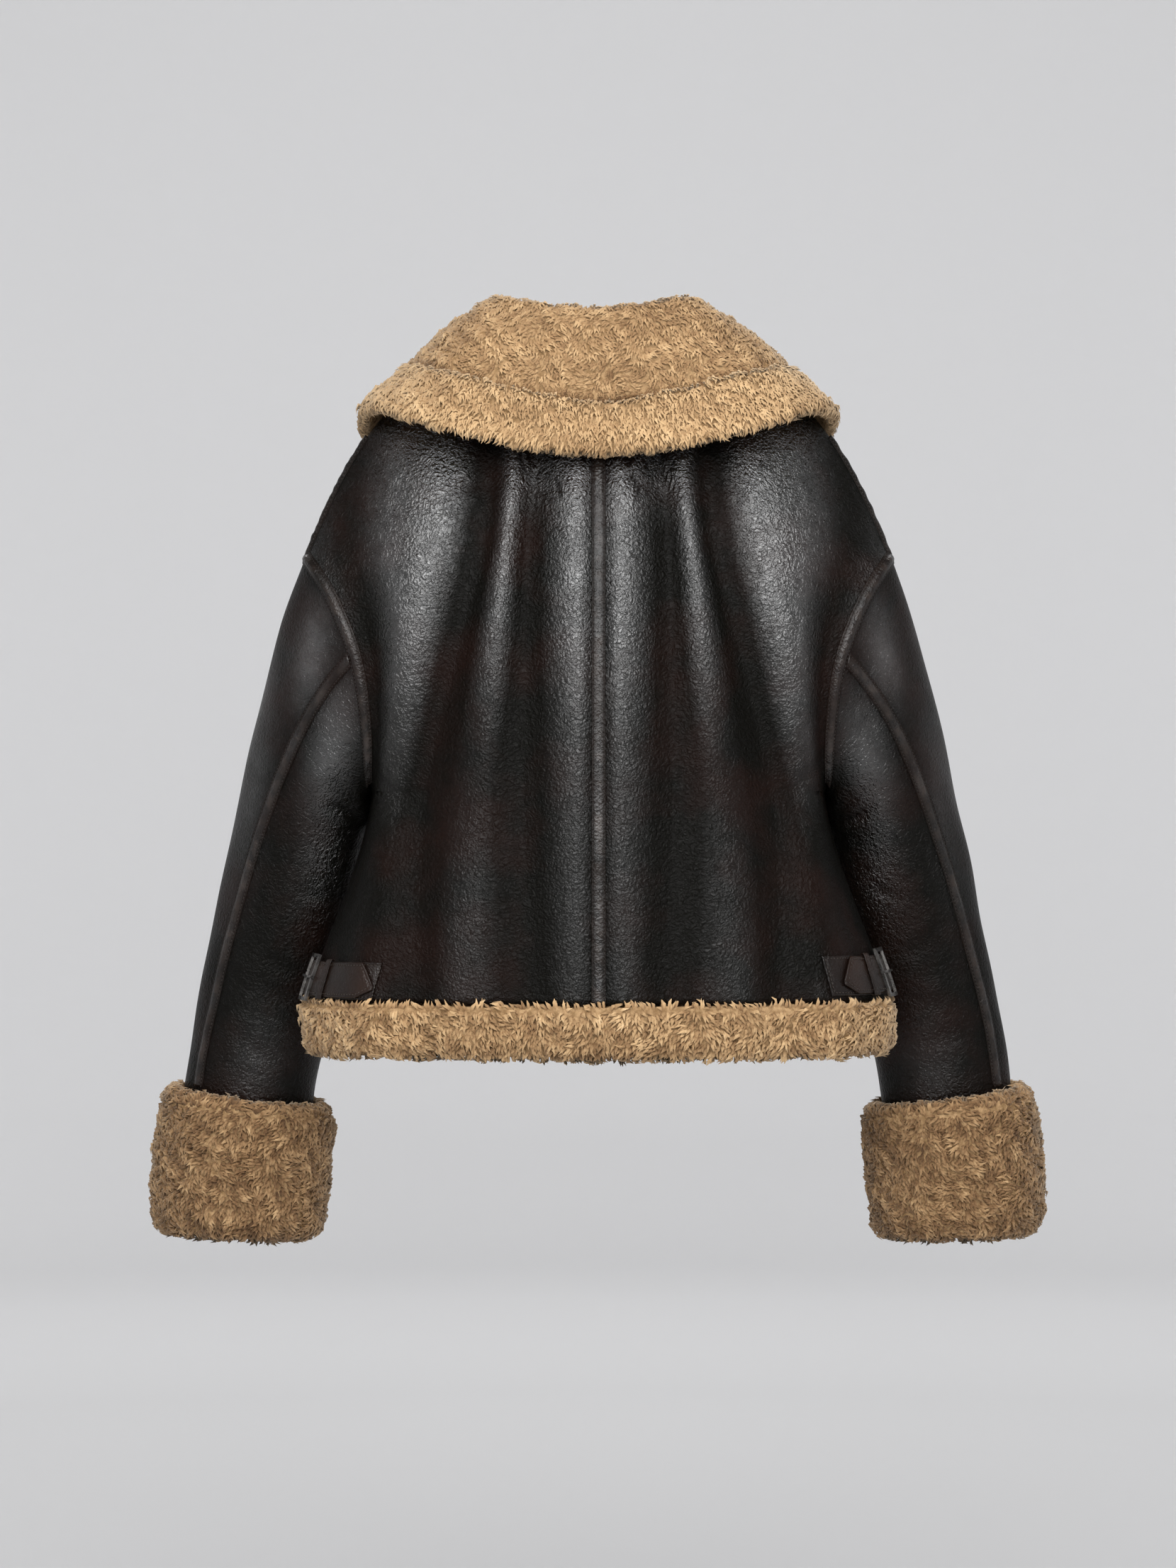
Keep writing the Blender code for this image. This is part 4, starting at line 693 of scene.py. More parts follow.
def new_object(name, vertices, faces, finishes, slots=None, tone=None, strand=None, sort_out=True):
    """A piece from points and faces. finishes are its materials, and slots tells which one a face has."""
    mesh = bpy.data.meshes.new(name)
    mesh.from_pydata(np.asarray(vertices).tolist(), [], faces if isinstance(faces, list) else faces.tolist())
    for finish in finishes:
        mesh.materials.append(FINISHES[finish])
    if slots is not None:
        mesh.polygons.foreach_set("material_index", np.asarray(slots, np.int32))
    if sort_out:
        sort_normals(mesh)
    mesh.shade_smooth()
    if tone is not None:
        set_values(mesh, "tone", tone)
    if strand is not None:
        set_values(mesh, "strand", strand, "FLOAT_VECTOR", "vector")
    piece = bpy.data.objects.new(name, mesh)
    bpy.context.scene.collection.objects.link(piece)
    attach(piece, "jacket")
    return piece


def stand_for(node):
    """The piece is seen in place of that CAD node."""
    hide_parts(node)


def wall(name, outer, inner, finishes, wrap_u=False, wrap_v=False, tone=None):
    """A closed wall between two grids of points. Its inside takes the last of the finishes."""
    count_u, count_v = outer.shape[:2]
    size = count_u * count_v
    sheet = quads(count_u, count_v, wrap_u, wrap_v)
    faces = [sheet, sheet[:, ::-1] + size]
    index = np.arange(size).reshape(count_u, count_v)
    edges = []
    if not wrap_u:
        edges += [index[0], index[-1]]
    if not wrap_v:
        edges += [index[:, 0], index[:, -1]]
    for edge in edges:
        a, b = edge[:-1], edge[1:]
        if len(edge) == count_v and wrap_v or len(edge) == count_u and wrap_u:
            a, b = edge, np.roll(edge, -1)
        faces.append(np.stack([a, b, b + size, a + size], axis=1))
    slots = np.concatenate([np.full(len(f), len(finishes) - 1 if k == 1 else 0) for k, f in enumerate(faces)])
    vertices = np.concatenate([outer.reshape(-1, 3), inner.reshape(-1, 3)])
    both = None if tone is None else np.tile(tone.ravel(), 2)
    return new_object(name, vertices, np.concatenate(faces), finishes, slots, tone=both)


def loft_faces(count_u, count_v, closed):
    faces = quads(count_u, count_v, closed, True).tolist()
    if not closed:
        faces.append(list(range(count_v)))
        faces.append([(count_u - 1) * count_v + j for j in range(count_v)])
    return faces


def finer(values, times):
    """The values with times - 1 more steps between each two."""
    values = np.asarray(values, float)
    where = np.linspace(0, len(values) - 1, (len(values) - 1) * times + 1)
    return np.interp(where, np.arange(len(values)), values)


# Stitches

def stitch_rows(name, rows, finish="thread"):
    """Short raised stitches along rows. A row is its points and the way out at each."""
    centres, ways, outs = [], [], []
    for points, out in rows:
        steps = distances(points)
        at = np.arange(STITCH_PITCH / 2, steps[-1], STITCH_PITCH)
        centres.append(on_line(at, steps, points))
        ways.append(unit(on_line(at + STITCH_STEP, steps, points) - on_line(at - STITCH_STEP, steps, points)))
        outs.append(unit(on_line(at, steps, out)))
    centre, way, out = (np.concatenate(x) for x in (centres, ways, outs))
    across = np.cross(way, out)
    turns = np.arange(4) * math.pi / 2
    ring = across[:, None] * np.cos(turns)[None, :, None] + out[:, None] * np.sin(turns)[None, :, None]
    vertices = [centre - way * STITCH_LONG / 2 - out * STITCH_HALF]
    for share in (-0.3, 0.3):
        body_ring = centre[:, None] + ring * STITCH_HALF + way[:, None] * STITCH_LONG * share
        vertices += [body_ring[:, k] for k in range(4)]
    vertices.append(centre + way * STITCH_LONG / 2 - out * STITCH_HALF)
    points = np.stack(vertices, axis=1)
    pattern = [[0, 1 + (k + 1) % 4, 1 + k] for k in range(4)]
    for k in range(4):
        a, b = 1 + k, 1 + (k + 1) % 4
        pattern += [[a, b, b + 4], [a, b + 4, a + 4]]
    pattern += [[9, 5 + k, 5 + (k + 1) % 4] for k in range(4)]
    faces = (np.array(pattern)[None] + 10 * np.arange(len(points))[:, None, None]).reshape(-1, 3)
    stitches = new_object(name, points.reshape(-1, 3), faces, [finish], sort_out=False)


# Leather pieces

def leather_piece(name, node, outer, inner, near, shine):
    """A wall of leather, darker near its seams. near is how near the seam lies."""
    tone = np.exp(-((near / SEAM_REACH) ** 2)) * np.ones(outer.shape[:2])
    piece = wall(name, outer, inner, ["leather", "lining"], tone=tone)
    # How much it shines at each point: partly worn gloss, partly painted highlight and painted shade
    set_values(piece.data, "shine", np.tile(shine.ravel(), 2))
    stand_for(node)


def panel_grid_steps(face, side):
    """Fine columns and rows of a panel, with columns close together beside the pleats."""
    turns = np.linspace(0, math.pi / 2, 20)
    neck = np.arcsin(NECK_HALF / TIP_X * np.sin(turns)) * 2 / math.pi
    columns = np.concatenate([neck, np.linspace(NECK_S, 1, 62)[1:]])
    if face == "back":
        even = np.linspace(0, 0.5, 60)
        pleat_row = torso(face, even, np.full(60, 0.87))[:, 0]
        for x, _, _, _, half, _ in PLEATS[side]:
            middle = np.interp(abs(x), pleat_row, even)
            spread = np.array([-2.4, -1.6, -1.0, -0.5, 0.0, 0.5, 1.0, 1.6, 2.4]) * half / TIP_X / 1.35
            near = np.abs(columns[:, None] - (middle + spread)[None]).min(axis=1) < 0.0022
            columns = np.sort(np.concatenate([columns[~near | (columns < 0.001)], middle + spread]))
    above = ARMPIT_T + (1 - ARMPIT_T) * finer(ROWS_ABOVE, 6)
    return columns, np.concatenate([ARMPIT_T * np.linspace(0, 1, 34)[:-1], above])


def make_panels():
    for side in SIDES:
        for face, start, trim in (("back", SEAM_GAP / 2, -SEAM_GAP / 2), ("front", ZIP_SLOT, SEAM_GAP / 2)):
            columns, rows = panel_grid_steps(face, side)
            outer, direction = panel(face, columns, rows, side)
            outer[:, 0, 2] = HEM_Z
            direction[:, 0] = unit(direction[:, 0] * (1, 1, 0))
            in_neck = columns <= NECK_S + 0.001
            direction[in_neck, -5:] = direction[in_neck, -6][:, None]
            thick = np.full(outer.shape[:2], WALL)
            thick[np.ix_(in_neck, rows > 0.96)] = WALL_AT_COLLAR
            inner = outer - direction * thick[..., None]
            for grid in (outer, inner):
                grid[0, :, 0] = start * SIDES[side]
                grid[columns >= NECK_S, -1, 1] += trim
                grid[-1, rows <= ARMPIT_T, 1] += trim
            near = np.minimum(columns, 1 - columns)[:, None] * PANEL_WIDTH
            shine = panel_shine_and_painted_light(face, outer, side)
            leather_piece(f"{face}_leather_{side}", f"{face}_{side}", outer, inner, near, shine)


def sleeve_angles(part):
    if part == "upper":
        return np.linspace(ARMHOLE_BACK_SEAM, FRONT_SEAM, 50)
    angles = np.linspace(FRONT_SEAM, ARMHOLE_BACK_SEAM - 360, 46)
    return np.where(angles <= -180, angles + 360, angles)


def make_sleeves():
    rows = finer(SLEEVE_ROWS, 8)
    for side in SIDES:
        for part in ("upper", "under"):
            outer, direction = sleeve_grid(sleeve_angles(part), rows, side)
            inner = outer - direction * WALL
            for grid in (outer, inner):
                grid[0] += unit(grid[1] - grid[0]) * SEAM_GAP / 2
                grid[-1] += unit(grid[-2] - grid[-1]) * SEAM_GAP / 2
            count = outer.shape[0]
            near = np.minimum(np.arange(count), np.arange(count)[::-1])[:, None] * SLEEVE_COLUMN
            near = np.minimum(near, rows[None] * SLEEVE_LONG)
            name = f"sleeve_{part}_leather_{side}"
            shine = sleeve_painted_highlights(outer, side)
            leather_piece(name, f"sleeve_{part}_{side}", outer, inner, near, shine)


# Seam tapes

def walk(lines, distance):
    """For each line of points, the point that far along it. lines is stations by points."""
    return np.array([on_line(distance, distances(line), line) for line in lines])


def tape(name, node, middle, first_lines, second_lines, outward, seed):
    """A domed tape over a seam, along stations, with its two rows of stitches."""
    ways = unit(np.gradient(middle, axis=0))
    sides = [[walk(lines, distance) for distance, _ in TAPE_PROFILE] for lines in (first_lines, second_lines)]
    square = unit(np.cross(ways, sides[0][0] - sides[1][0]))
    square *= np.sign((square * outward).sum(axis=1, keepdims=True))
    square = unit(square + 0.6 * unit(outward))
    pucker = wander(middle, 0.009, seed) * TAPE_PUCKER
    rows = sides[0] + [middle] + sides[1][::-1]
    heights = [height for _, height in TAPE_PROFILE]
    heights = heights + [TAPE_CROWN] + heights[::-1]
    lifts = [square * (height + pucker * height / TAPE_CROWN)[:, None] for height in heights]
    top = np.stack([row + lift for row, lift in zip(rows, lifts)], axis=1)
    bottom = np.stack(rows, axis=1)
    wear = np.array([0.0, 0.4, 0.0, 0.5, 0.9, 1.0, 0.9, 0.5, 0.0, 0.4, 0.0])
    tone = wear[None] * (0.8 + 0.2 * wander(middle, 0.06, seed + 1))[:, None]
    piece = wall(name, top, bottom - square[:, None] * TAPE_SINK, ["tape"], tone=tone)
    stand_for(node)
    other = top.shape[1] - 1 - TAPE_STITCH_ROW
    rows = [(top[:, k] + square * STITCH_HALF * 0.5, square) for k in (TAPE_STITCH_ROW, other)]
    stitch_rows(f"{name}_stitches", rows)


def make_tapes():
    edge_s = 1 - np.linspace(0, 0.12, 14)
    edge_t = 1 - np.linspace(0, 0.1, 20) ** 1.3
    rows = np.concatenate([ARMPIT_T * np.linspace(0.004, 1, 80)[:-1], np.linspace(ARMPIT_T, 0.955, 130)])
    near_s = np.linspace(0, 0.09, 12)
    left, left_out = panel("back", near_s, rows, "left")
    right, right_out = panel("back", near_s, rows, "right")
    middle, out = (left[0] + right[0]) / 2, unit(left_out[0] + right_out[0])
    lines = left.transpose(1, 0, 2), right.transpose(1, 0, 2)
    tape("centre_back_tape", "tape_centre_back", middle, *lines, out, 11)
    for number, side in enumerate(SIDES):
        columns = np.linspace(0.58, 0.972, 110)
        back, back_out = panel("back", columns, edge_t, side)
        front, _ = panel("front", columns, edge_t, side)
        middle = (back[:, 0] + front[:, 0]) / 2
        names = f"shoulder_tape_{side}", f"tape_shoulder_{side}"
        tape(*names, middle, back, front, back_out[:, 0], 21 + number)
        make_armhole_tape(side, edge_s, 31 + number)
        make_sleeve_tape(side, 41 + number)


def make_armhole_tape(side, edge_s, seed):
    """From low on the back, over the shoulder tip, to low on the front."""
    back_rise = np.linspace(0.13, 1.0, 150)
    front_rise = np.linspace(0.995, 0.42, 90)
    at = np.linspace(0, 0.12, 16)
    middle, first, second, outward = [], [], [], []
    for face, rises in (("back", back_rise), ("front", front_rise)):
        t = ARMPIT_T + (1 - ARMPIT_T) * rises
        grid, out = panel(face, edge_s, t, side)
        angles = 180 * (1 - rises) * (1 if face == "back" else -1)
        arm, arm_out = sleeve_grid(angles, at, side)
        middle.append((grid[0] + arm[:, 0]) / 2)
        first.append(grid.transpose(1, 0, 2))
        second.append(arm)
        outward.append(unit(out[1] + arm_out[:, 1]))
    lines = (np.concatenate(part) for part in (middle, first, second, outward))
    tape(f"armhole_tape_{side}", f"tape_armhole_{side}", *lines, seed)


def make_sleeve_tape(side, seed):
    rows = np.linspace(0.012, 0.79, 215)
    spread = np.linspace(0, 22, 14)
    upper, out = sleeve_grid(ARMHOLE_BACK_SEAM - spread, rows, side)
    under, _ = sleeve_grid(ARMHOLE_BACK_SEAM + spread, rows, side)
    lines = upper.transpose(1, 0, 2), under.transpose(1, 0, 2)
    tape(f"sleeve_tape_{side}", f"tape_sleeve_{side}", (upper[0] + under[0]) / 2, *lines, out[0], seed)


# Fur

def grid_normals(grid, closed_u, closed_v):
    """Normals of a grid of points, pointing to the side that u cross v gives."""
    def slope(axis, closed):
        if closed:
            return np.roll(grid, -1, axis=axis) - np.roll(grid, 1, axis=axis)
        return np.gradient(grid, axis=axis)
    return unit(np.cross(slope(0, closed_u), slope(1, closed_v)))


def resample(grid, axis, count, closed):
    """The grid with count even steps along one axis, on smooth curves through its points."""
    grid = np.moveaxis(grid, axis, 0)
    if closed:
        grid = np.concatenate([grid[-3:], grid, grid[:4]])
    knots = np.arange(len(grid)) - (3 if closed else 0)
    length = len(grid) - 7 if closed else len(grid) - 1
    steps = np.linalg.norm(np.diff(grid, axis=0), axis=-1).mean(axis=1)
    if closed:
        steps = steps[3 : 3 + length]
    travelled = np.concatenate([[0], np.cumsum(steps)])
    even = np.linspace(0, travelled[-1], count + 1 if closed else count)
    at = np.interp(even, travelled, np.arange(len(travelled)))
    at = at[:-1] if closed else at
    flat = grid.reshape(len(grid), -1)
    slopes = np.gradient(flat, axis=0)
    i = np.clip(np.searchsorted(knots, at, side="right") - 1, 0, len(knots) - 2)
    made = cubic((at - knots[i])[:, None], 1, flat, slopes, i).reshape(len(at), *grid.shape[1:])
    return np.moveaxis(made, 0, axis)


def even_spots(grid, pitch, rng):
    """About one spot for each pitch squared, evenly spread. Gives cell numbers and places in the cells."""
    a, b, c, d = grid[:-1, :-1], grid[1:, :-1], grid[1:, 1:], grid[:-1, 1:]
    size = np.linalg.norm(np.cross(c - a, d - b), axis=-1) / 2
    order = np.arange(size.size).reshape(size.shape)
    order[1::2] = order[1::2, ::-1]
    order = order.ravel()
    total = np.cumsum(size.ravel()[order])
    count = int(total[-1] / pitch**2)
    marks = (np.arange(count) + rng.uniform(0.2, 0.8, count)) * total[-1] / count
    cells = order[np.minimum(np.searchsorted(total, marks), len(order) - 1)]
    return np.unravel_index(cells, size.shape), rng.uniform(0, 1, (count, 2))


def read_grid(values, cells, inside):
    i, j = cells
    a, b = inside[:, :1], inside[:, 1:]
    low = values[i, j] * (1 - a) + values[i + 1, j] * a
    high = values[i, j + 1] * (1 - a) + values[i + 1, j + 1] * a
    return low * (1 - b) + high * b


def grow_locks(points, normal, comb, kind, rng, seam):
    """Curved tapered locks at points: they rise, bend over the way of the comb and curl at the tip."""
    sizes = LOCKS[kind]
    count = len(points)
    side = unit(np.cross(normal, comb))
    comb = unit(np.cross(side, normal))
    swirl = sizes["swirl"] * wander(points, 0.03, 3) + rng.normal(0, 0.3, count)
    clump = wander(points, *CLUMP)
    lean = comb * np.cos(swirl)[:, None] + side * np.sin(swirl)[:, None]
    aside = np.cross(normal, lean)
    grown = (rng.uniform(0.75, 1.2, count) + 0.1 * clump) * (1 - SEAM_FLAT * seam)
    length = sizes["length"] * grown[:, None]
    half = sizes["half"] * rng.uniform(0.75, 1.25, count)[:, None]
    curl = rng.normal(0, 0.3, count)[:, None]
    lift = rng.uniform(0.75, 1.15, count)[:, None]
    last = len(LOCK_PROFILE) - 1
    centres = []
    for k, (_, forward, up) in enumerate(LOCK_PROFILE):
        bend = curl * (k / last) ** 2 * 0.5
        centres.append(points + (lean * forward + normal * up * lift + aside * bend) * length)
    centres = np.stack(centres, axis=1)
    ways = unit(np.gradient(centres, axis=1))
    rings = []
    for k, (width, _, _) in enumerate(LOCK_PROFILE[:-1]):
        up = unit(normal - (normal * ways[:, k]).sum(axis=1, keepdims=True) * ways[:, k])
        out = np.cross(ways[:, k], up)
        for turn in 2 * math.pi * np.arange(LOCK_SIDES) / LOCK_SIDES:
            rings.append(centres[:, k] + (out * math.cos(turn) + up * math.sin(turn) * 0.8) * half * width)
    rings.append(centres[:, -1])
    vertices = np.stack(rings, axis=1)
    pattern = []
    for m in range(LOCK_SIDES):
        n = (m + 1) % LOCK_SIDES
        for first in range(0, (last - 1) * LOCK_SIDES, LOCK_SIDES):
            a, b = first + m, first + n
            pattern += [[a, b, b + LOCK_SIDES], [a, b + LOCK_SIDES, a + LOCK_SIDES]]
        pattern.append([(last - 1) * LOCK_SIDES + m, (last - 1) * LOCK_SIDES + n, last * LOCK_SIDES])
    pattern = np.array(pattern)[:, ::-1]
    faces = pattern[None] + vertices.shape[1] * np.arange(count)[:, None, None]
    varied = 0.025 * rng.normal(0, 1, count) + 0.13 * clump
    own = sizes["tone"] + sizes["contrast"] * varied + 0.05 * wander(points, 0.08, 9) - SEAM_SHADE * seam
    along_lock = np.repeat(LOCK_TONES, [LOCK_SIDES, LOCK_SIDES, 1])
    tone = own[:, None] + along_lock[None] * sizes["contrast"]
    strand = np.zeros((count, vertices.shape[1], 3))
    strand[..., 0] = np.append(np.tile(np.arange(LOCK_SIDES), last), 1.5)[None] * 1.3
    strand[..., 1] = np.repeat([0.0, 0.4, 1.0], [LOCK_SIDES, LOCK_SIDES, 1])[None]
    strand[..., 2] = rng.uniform(0, 50, count)[:, None]
    round_it = unit(vertices - centres[:, RING_OF_POINT])
    soft = unit(normal[:, None] + FUR_SHADING * sizes["contrast"] * round_it)
    return vertices.reshape(-1, 3), faces.reshape(-1, 3), tone, strand.reshape(-1, 3), soft.reshape(-1, 3)


def make_fur(name, node, grid, comb, kind, closed_u, seed):
    """A furry piece from its section rings. comb is the way that the locks lie."""
    rng = np.random.default_rng(seed)
    sizes = LOCKS[kind]
    around = np.linalg.norm(np.diff(grid, axis=1), axis=-1).mean(axis=0).sum()
    path = np.linalg.norm(np.diff(grid, axis=0), axis=-1).mean(axis=1).sum()
    grid = resample(grid, 0, int(path / FUR_GRID), closed_u)
    grid = resample(grid, 1, int(around / FUR_GRID), True)
    normal = grid_normals(grid, closed_u, True)
    if ((grid - grid.mean(axis=1, keepdims=True)) * normal).sum() < 0:
        normal = -normal
    lumps = sum(wander(grid, scale, number) * height for scale, number, height in FUR_LUMPS)
    base = grid - normal * (FUR_SINK - lumps[..., None])
    wool = new_object(name, base.reshape(-1, 3), loft_faces(*grid.shape[:2], closed_u), ["wool"])
    stand_for(node)

    shown = math.ceil(base.shape[1] * sizes["shown"])
    around_grid = np.concatenate([base, base[:, :1]], axis=1)[:, : shown + 1]
    out_grid = np.concatenate([normal, normal[:, :1]], axis=1)[:, : shown + 1]
    if closed_u:
        around_grid = np.concatenate([around_grid, around_grid[:1]])
        out_grid = np.concatenate([out_grid, out_grid[:1]])
    cells, within = even_spots(around_grid, sizes["pitch"], rng)
    seam = np.clip((cells[1] / shown - sizes["seam_at"]) / 0.05, 0, 1)
    points = read_grid(around_grid, cells, within)
    out = unit(read_grid(out_grid, cells, within))
    vertices, faces, tone, strand, soft = grow_locks(points, out, comb(points, out), kind, rng, seam)
    locks = new_object(f"{name}_locks", vertices, faces, ["fur"], tone=tone, strand=strand, sort_out=False)
    locks.data.normals_split_custom_set_from_vertices(soft.tolist())


def combed_down(points, out):
    """Down, but up and over the leather at a piece's upper edge."""
    up_edge = np.clip((out[:, 2] - 0.05) / 0.35, 0, 1)
    return np.array([0.0, 0.0, 1.0]) * (2 * up_edge - 1.0)[:, None] + 0 * points


def make_cuffs():
    around = np.concatenate([np.linspace(180, 0, 60)[:-1], np.linspace(0, -180, 60)[:-1]])
    shares = np.array([share for share, _ in CUFF_SECTION])
    lift = np.array([height for _, height in CUFF_SECTION])
    at = CUFF_TOP + (1 - CUFF_TOP) * shares
    angles, rows = np.meshgrid(np.radians(seam_warp(around, 1.0)), at, indexing="ij")
    points = sleeve(angles, rows) + sleeve_normal(angles, rows) * lift[None, :, None]
    for number, side in enumerate(SIDES):
        placed = mirrored(points, SIDES[side])
        make_fur(f"cuff_fur_{side}", f"cuff_{side}", placed, combed_down, "cuff", True, 61 + number)


def make_hem_band():
    s = np.linspace(0, 1, 90)
    path = []
    parts = (("left", "front", 1), ("left", "back", -1), ("right", "back", 1), ("right", "front", -1))
    for side, face, order in parts:
        row = panel(face, s, np.array([0.0]), side)[0][:, 0][::order]
        path.append(row if not path else row[1:])
    path = np.concatenate(path)
    path[0, 0], path[-1, 0] = -HEM_END, HEM_END
    tangent = np.gradient(path, axis=0)
    out = unit(np.stack([-tangent[:, 1], tangent[:, 0], np.zeros(len(path))], axis=1))
    if out[len(out) // 2, 1] > 0:
        out = -out
    out[[0, -1]] = (0.0, 1.0, 0.0)
    section = np.array(HEM_BAND)
    rings = path[:, None] * (1, 1, 0) + out[:, None] * section[None, :, :1]
    rings = rings + section[None, :, 1:] * (0, 0, 1.0)
    make_fur("hem_fur", "hem_band", rings, combed_down, "hem_band", False, 71)


# Collar

def neck_corner(degrees):
    """The neck seam at an angle from the centre back, and the way out across it."""
    around = math.radians(degrees)
    turn = math.cos(around)
    face = "back" if turn > 0 else "front"
    depth = abs(CENTRE[face]["y"][-1] - SHOULDER_Y)
    height = NECK_Z[face] * abs(turn) ** NECK_POWER[face]
    point = np.array([NECK_HALF * math.sin(around), SHOULDER_Y - depth * turn, height])
    return point, unit(np.array([math.sin(around) / NECK_HALF, -turn / depth, 0.0]))


def neck_seam(degrees):
    low = math.floor(degrees / NECK_STEP) * NECK_STEP
    mix = (degrees - low) / NECK_STEP
    a, out_a = neck_corner(low)
    b, out_b = neck_corner(low + NECK_STEP)
    return a * (1 - mix) + b * mix, unit(out_a * (1 - mix) + out_b * mix)


def collar_frame(degrees):
    sizes = {name: float(smooth_curve(COLLAR["around"], COLLAR[name], abs(degrees))) for name in COLLAR}
    lean = math.radians(math.copysign(sizes["azimuth"], degrees))
    point, square = neck_seam(degrees)
    return point, square, np.array([math.sin(lean), -math.cos(lean), 0.0]), sizes


def collar_paths(sizes, foot_z):
    """Section of the folded collar: its fur side and its leather side, as (r, z) points."""
    fold = np.array([sizes["fold_r"], sizes["fold_z"]])
    seam = np.array([sizes["seam_r"], sizes["seam_z"]])
    shoulder = fold + (0.013, -0.007)
    fall = unit(seam - shoulder)
    out = np.array([-fall[1], fall[0]])
    rise = fold[1] - foot_z
    fur = [
        (STAND_INSIDE, foot_z),
        (STAND_INSIDE + 0.001, foot_z + 0.35 * rise),
        (STAND_INSIDE + 0.003, foot_z + 0.68 * rise),
        fold + (-0.0135, -0.0085),
        fold + (-0.0065, -0.0018),
        fold + (0.0035, -0.0002),
        shoulder,
        shoulder + (seam - shoulder) * 0.33 + out * FALL_BULGE * 0.9,
        shoulder + (seam - shoulder) * 0.67 + out * FALL_BULGE,
        seam,
    ]
    hide_shoulder = fold + (0.0035, -0.0165)
    under_seam = seam - out * COLLAR_WALL
    hide = [
        (STAND_OUTSIDE, foot_z),
        (STAND_OUTSIDE, foot_z + 0.3 * rise),
        (STAND_OUTSIDE + 0.0005, foot_z + 0.55 * rise),
        fold + (-0.0075, -0.018),
        fold + (-0.0045, -0.015),
        fold + (0.0, -0.014),
        hide_shoulder,
        hide_shoulder + (under_seam - hide_shoulder) * 0.33 + out * FALL_BULGE * 0.5,
        hide_shoulder + (under_seam - hide_shoulder) * 0.67 + out * FALL_BULGE * 0.5,
        under_seam,
    ]
    return np.array([tuple(p) for p in fur]), np.array([tuple(p) for p in hide])


def place(section, point, square, out):
    """The section's points, square to the neck seam at a stand's foot and leaning out above it."""
    share = 1.0
    if section[0, 0] < STAND_REACH:
        share = np.maximum.accumulate(np.clip((section[:, 1:] - point[2]) / 0.03, 0, 1))
    way = unit(square * (1 - share) + out * share)
    placed = point * (1, 1, 0) + section[:, :1] * way + section[:, 1:] * (0.0, 0.0, 1.0)
    placed[:, 0] += COLLAR_ASKEW * np.clip(section[:, 1] / 0.05, 0, 1)
    return placed


def border_section(sizes, fur, hide):
    """Rounded band below the collar's seam, down to its outer edge."""
    top_mid = (fur[-1] + hide[-1]) / 2
    edge = np.array([sizes["edge_r"], sizes["edge_z"]])
    fall = unit(edge - top_mid)
    out = np.array([-fall[1], fall[0]])
    top = top_mid + fall * (BORDER_HALF * BORDER_TOP - BORDER_TUCK)
    ring = []
    for turn in 2 * math.pi * (np.arange(10) + 5.5) / 10:
        end = edge if math.sin(turn) < 0 else top
        depth = BORDER_TOP if math.sin(turn) > 0 else 1.0
        ring.append(end - fall * math.sin(turn) * BORDER_HALF * depth + out * math.cos(turn) * BORDER_HALF)
    return np.array(ring)


def make_collar():
    sections, border = [], []
    for degrees in np.linspace(-COLLAR_END, COLLAR_END, 111):
        point, square, out, sizes = collar_frame(degrees)
        fur, hide = collar_paths(sizes, float(point[2]) + FOOT_LIFT)
        outside, inside = place(fur, point, square, out), place(hide, point, square, out)
        sections.append(np.concatenate([outside, inside[::-1]]))
        border.append(place(border_section(sizes, fur, hide), point, out, out))

    def fall(points, _):
        away = points * (1, 1, 0) - np.array([0.0, SHOULDER_Y, 0.0])
        return unit(unit(away) * 0.5 + np.array([0.0, 0.0, -1.0]))

    make_fur("collar_fur", "collar", np.array(sections), fall, "collar", False, 81)
    make_fur("collar_border_fur", "collar_border", np.array(border), fall, "collar_border", False, 82)


# Waist tabs, straps and keepers

def side_table(side):
    """Points and ways out round the side, on even steps of distance from the side seam and of height."""
    ats = np.linspace(-0.095, 0.11, 124)
    heights = np.linspace(HEM_Z, -0.486, 10)
    s = np.linspace(0.35, 1.0, 80)
    points, outs = [], []
    for z in heights:
        t = np.array([ARMPIT_T * (z - HEM_Z) / (ARMPIT_Z - HEM_Z)])
        front, front_out = panel("front", s, t, side)
        back, back_out = panel("back", s[::-1], t, side)
        line = np.concatenate([front[:, 0], back[1:, 0]])
        out = np.concatenate([front_out[:, 0], back_out[1:, 0]])
        steps = distances(line)
        steps = steps - steps[len(s) - 1]
        points.append(on_line(ats, steps, line))
        outs.append(unit(on_line(ats, steps, out)))
    return heights, ats, np.array(points), np.array(outs)


def on_side(table, at, z, height):
    """Points that far round from the side seam, at height z, that high above the leather."""
    heights, ats, points, outs = table
    at, z, height = np.broadcast_arrays(*(np.asarray(v, float) for v in (at, z, height)))
    i = np.clip((z - heights[0]) / (heights[1] - heights[0]), -0.9, len(heights) - 1.001)
    j = np.clip((at - ats[0]) / (ats[1] - ats[0]), 0, len(ats) - 1.001)
    i0, j0 = np.clip(np.floor(i), 0, len(heights) - 2).astype(int), np.floor(j).astype(int)
    u, v = (i - i0)[..., None], (j - j0)[..., None]

    def read(grid):
        low = grid[i0, j0] * (1 - v) + grid[i0, j0 + 1] * v
        high = grid[i0 + 1, j0] * (1 - v) + grid[i0 + 1, j0 + 1] * v
        return low * (1 - u) + high * u

    return read(points) + unit(read(outs)) * height[..., None]


